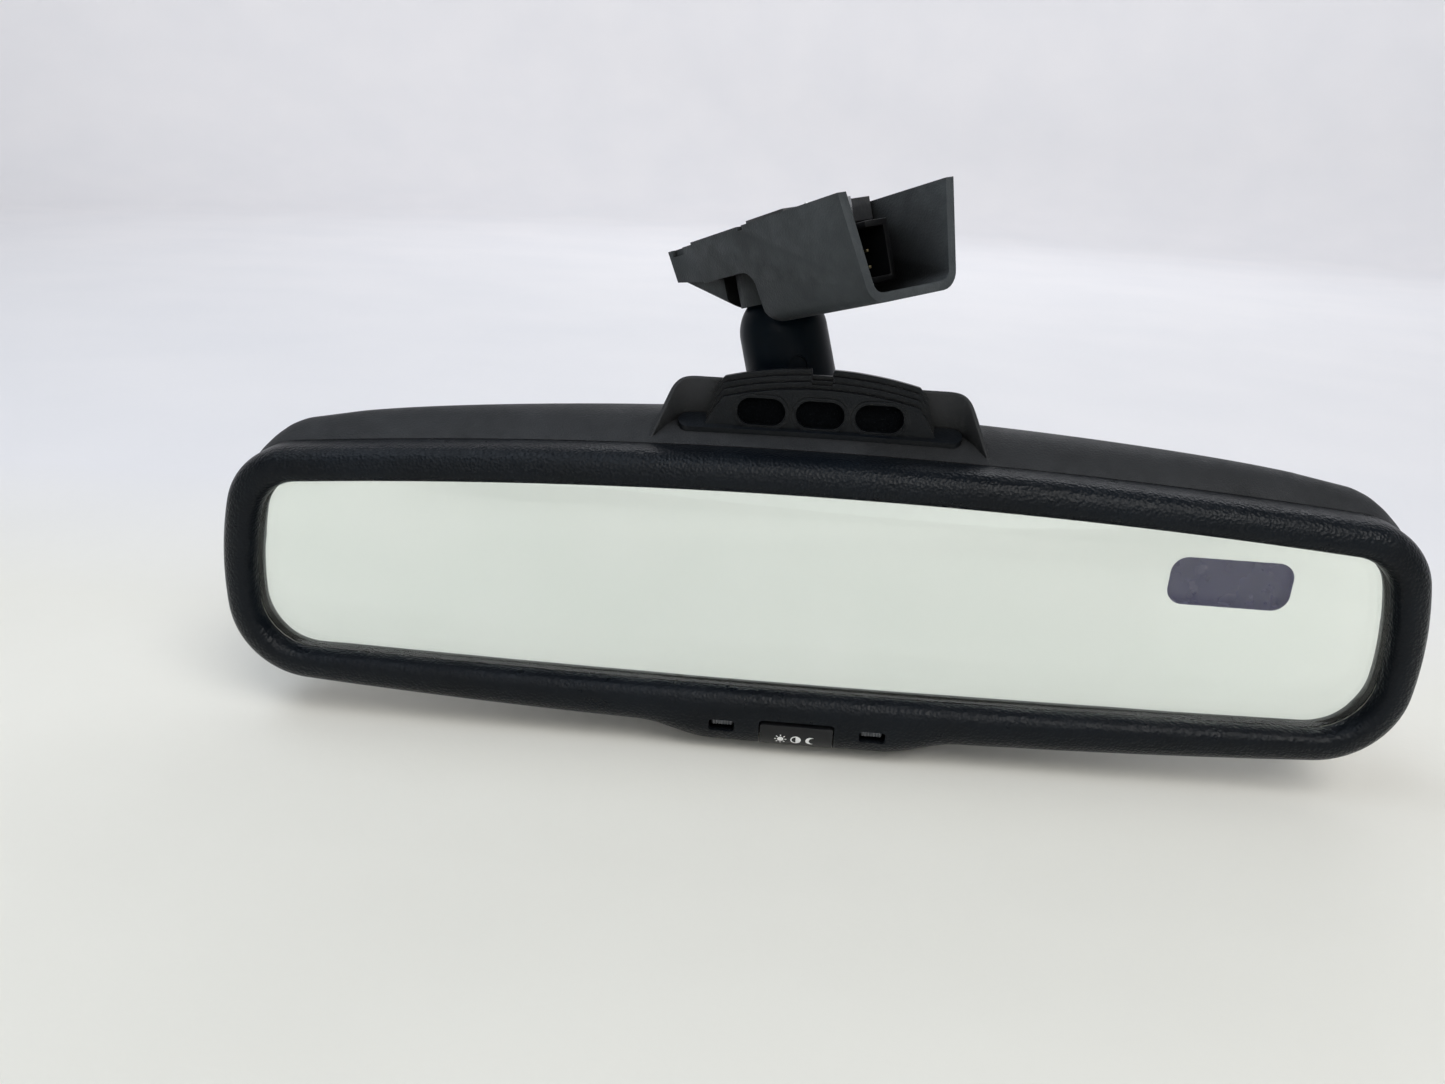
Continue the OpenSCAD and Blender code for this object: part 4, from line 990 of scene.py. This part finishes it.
# ---- the other nodes keep their CAD shape, with rounded edges -------------------------------------
# Width of each node's edge rounding in millimetres; 0 leaves a node's edges as they are
EDGE_ROUNDING = {
    "mount_shroud": 0.35, "mount_bracket": 0.3, "retaining_clip": 0.12, "connector_housing": 0.2,
    "connector_pins": 0.08, "set_screw": 0.15, "cell_bus_clips": 0.08, "glass_carrier": 0.2,
    "display_module": 0.2, "circuit_board": 0.1, "board_components": 0.15,
    "board_connector": 0.2, "board_screws": 0.12, "button_board": 0.1, "button_switch": 0.12,
    "status_led": 0.1, "glare_sensor": 0.1, "ambient_sensor": 0.2, "ambient_sensor_lens": 0.15,
    "status_lens": 0.04, "glare_sensor_lens": 0.04, "microphone_foam": 0.1, "microphone_capsules": 0.12,
    "microphone_board": 0.08, "pivot_plate": 0.3, "pivot_screws": 0.12, "lower_ball_stud": 0.15,
    "upper_ball_stud": 0.15, "stud_nut": 0.2, "glass_pad": 0.1, "cell_seal": 0.02,
    "lower_spring_seat": 0.15, "upper_spring_seat": 0.15, "arm_tube": 0.12, "lower_ball_cup": 0.08,
    "upper_ball_cup": 0.08, "lower_friction_washer": 0.06, "upper_friction_washer": 0.06,
    "arm_spring": 0, "arm_harness": 0.1, "head_harness": 0, "mount_harness": 0,
}


def refined(node, width):
    """A copy of a CAD node with its flat faces whole and its edges rounded."""
    source = frame["nodes"][node]
    bm = bmesh.new()
    bm.from_mesh(source.data)
    bmesh.ops.remove_doubles(bm, verts=bm.verts, dist=1e-7)
    bmesh.ops.dissolve_limit(bm, angle_limit=math.radians(0.5), verts=bm.verts, edges=bm.edges)
    mesh = bpy.data.meshes.new(node + "_finished")
    bm.to_mesh(mesh)
    bm.free()
    while mesh.attributes.get("custom_normal"):
        mesh.attributes.remove(mesh.attributes["custom_normal"])
    piece = bpy.data.objects.new(node + "_finished", mesh)
    bpy.context.scene.collection.objects.link(piece)
    if width:
        soften(piece, width, 38)
    slot = SLOT_OF[node]
    return dress(piece, BODY_OF[node], slot, MATERIALS[slot], node, angle=32)


# ---- studio, in metres ---------------------------------------------------------------------------
FLOOR_Z = cad_low.z - 0.002
FLOOR_R, BEND_R, WALL_TOP = 1.7, 0.5, 1.6
COOL_FROM, COOL_TO = 0.02, 0.14


def backdrop_material():
    """Pale paper: cream in front and cooler behind the mirror."""
    n = Nodes("paper")
    split = n.add("ShaderNodeSeparateXYZ")
    n.link(n.coordinates, split.inputs["Vector"])
    behind = n.spread(split.outputs["Y"], 0, 1, COOL_FROM, COOL_TO)
    front = n.mix(n.spread(n.noise(90, 3), 0, 1), (0.80, 0.785, 0.725), (0.83, 0.815, 0.755))
    back = n.mix(n.spread(n.noise(120, 2), 0, 1), (0.79, 0.785, 0.81), (0.82, 0.81, 0.83))
    n.link(n.mix(behind, front, back), n.shader.inputs["Base Color"])
    n.link(n.spread(n.noise(3, 4), 0.6, 0.75), n.shader.inputs["Roughness"])
    n.bump(n.noise(1.2, 4), 0.03)
    return n.material


def add_backdrop():
    """A round sheet, flat under the mirror and turned up far away on every side."""
    bend = [(FLOOR_R + BEND_R * math.sin(a), BEND_R - BEND_R * math.cos(a))
            for a in np.linspace(0, math.pi / 2, 16)]
    profile = [(0.002, 0)] + bend + [(FLOOR_R + BEND_R, WALL_TOP)]
    turns = 96
    points = [(r / MM * math.cos(math.tau * i / turns), r / MM * math.sin(math.tau * i / turns), z / MM)
              for r, z in profile for i in range(turns)]
    faces = grid(len(profile), turns, False, True) + [tuple(range(turns))]
    sheet = solid("backdrop", points, faces, space((0, 0, FLOOR_Z)))
    shade(sheet, 60)
    sheet.data.materials.append(backdrop_material())


def area_light(name, at, target, size, power, colour):
    """A soft rectangular light that points at a target."""
    data = bpy.data.lights.new(name, "AREA")
    data.shape = "RECTANGLE"
    data.size, data.size_y = size
    data.energy = power
    data.color = colour
    lamp = bpy.data.objects.new(name, data)
    lamp.location = at
    lamp.rotation_euler = (Vector(target) - Vector(at)).to_track_quat("-Z", "Y").to_euler()
    bpy.context.scene.collection.objects.link(lamp)


def add_light():
    world = bpy.data.worlds.new("studio")
    world.use_nodes = True
    world.node_tree.nodes["Background"].inputs["Color"].default_value = (0.83, 0.9, 1, 1)
    world.node_tree.nodes["Background"].inputs["Strength"].default_value = 0.15
    bpy.context.scene.world = world
    area_light("key", (0.55, -0.85, 1.1), (0, 0, -0.08), (0.9, 0.9), 13.2, (1, 0.99, 0.965))
    area_light("window", (-0.45, -0.15, 0.95), (0, 0, -0.08), (1.1, 0.5), 4.5, (0.82, 0.9, 1))
    area_light("front", (-0.2, -1.6, 0.7), (0, 0, -0.1), (1.6, 0.6), 5, (0.96, 0.98, 1))
    area_light("back", (0.35, 1.35, 0.95), (0, 0, -0.05), (1.6, 0.7), 4.5, (0.95, 0.97, 1))
    area_light("wash", (0, 0.9, 1.3), (0, 2.2, 0.3), (2.4, 0.4), 14, (0.98, 0.985, 1))
    bpy.context.scene.view_settings.view_transform = "Standard"


# ---- build -------------------------------------------------------------------------------------
front_bezel()
auto_button()
button_symbols()
rear_shell()
microphone_cover()
glass_plates()
display_window()
arm_sleeve()
for node, width in EDGE_ROUNDING.items():
    refined(node, width)
add_backdrop()
add_light()
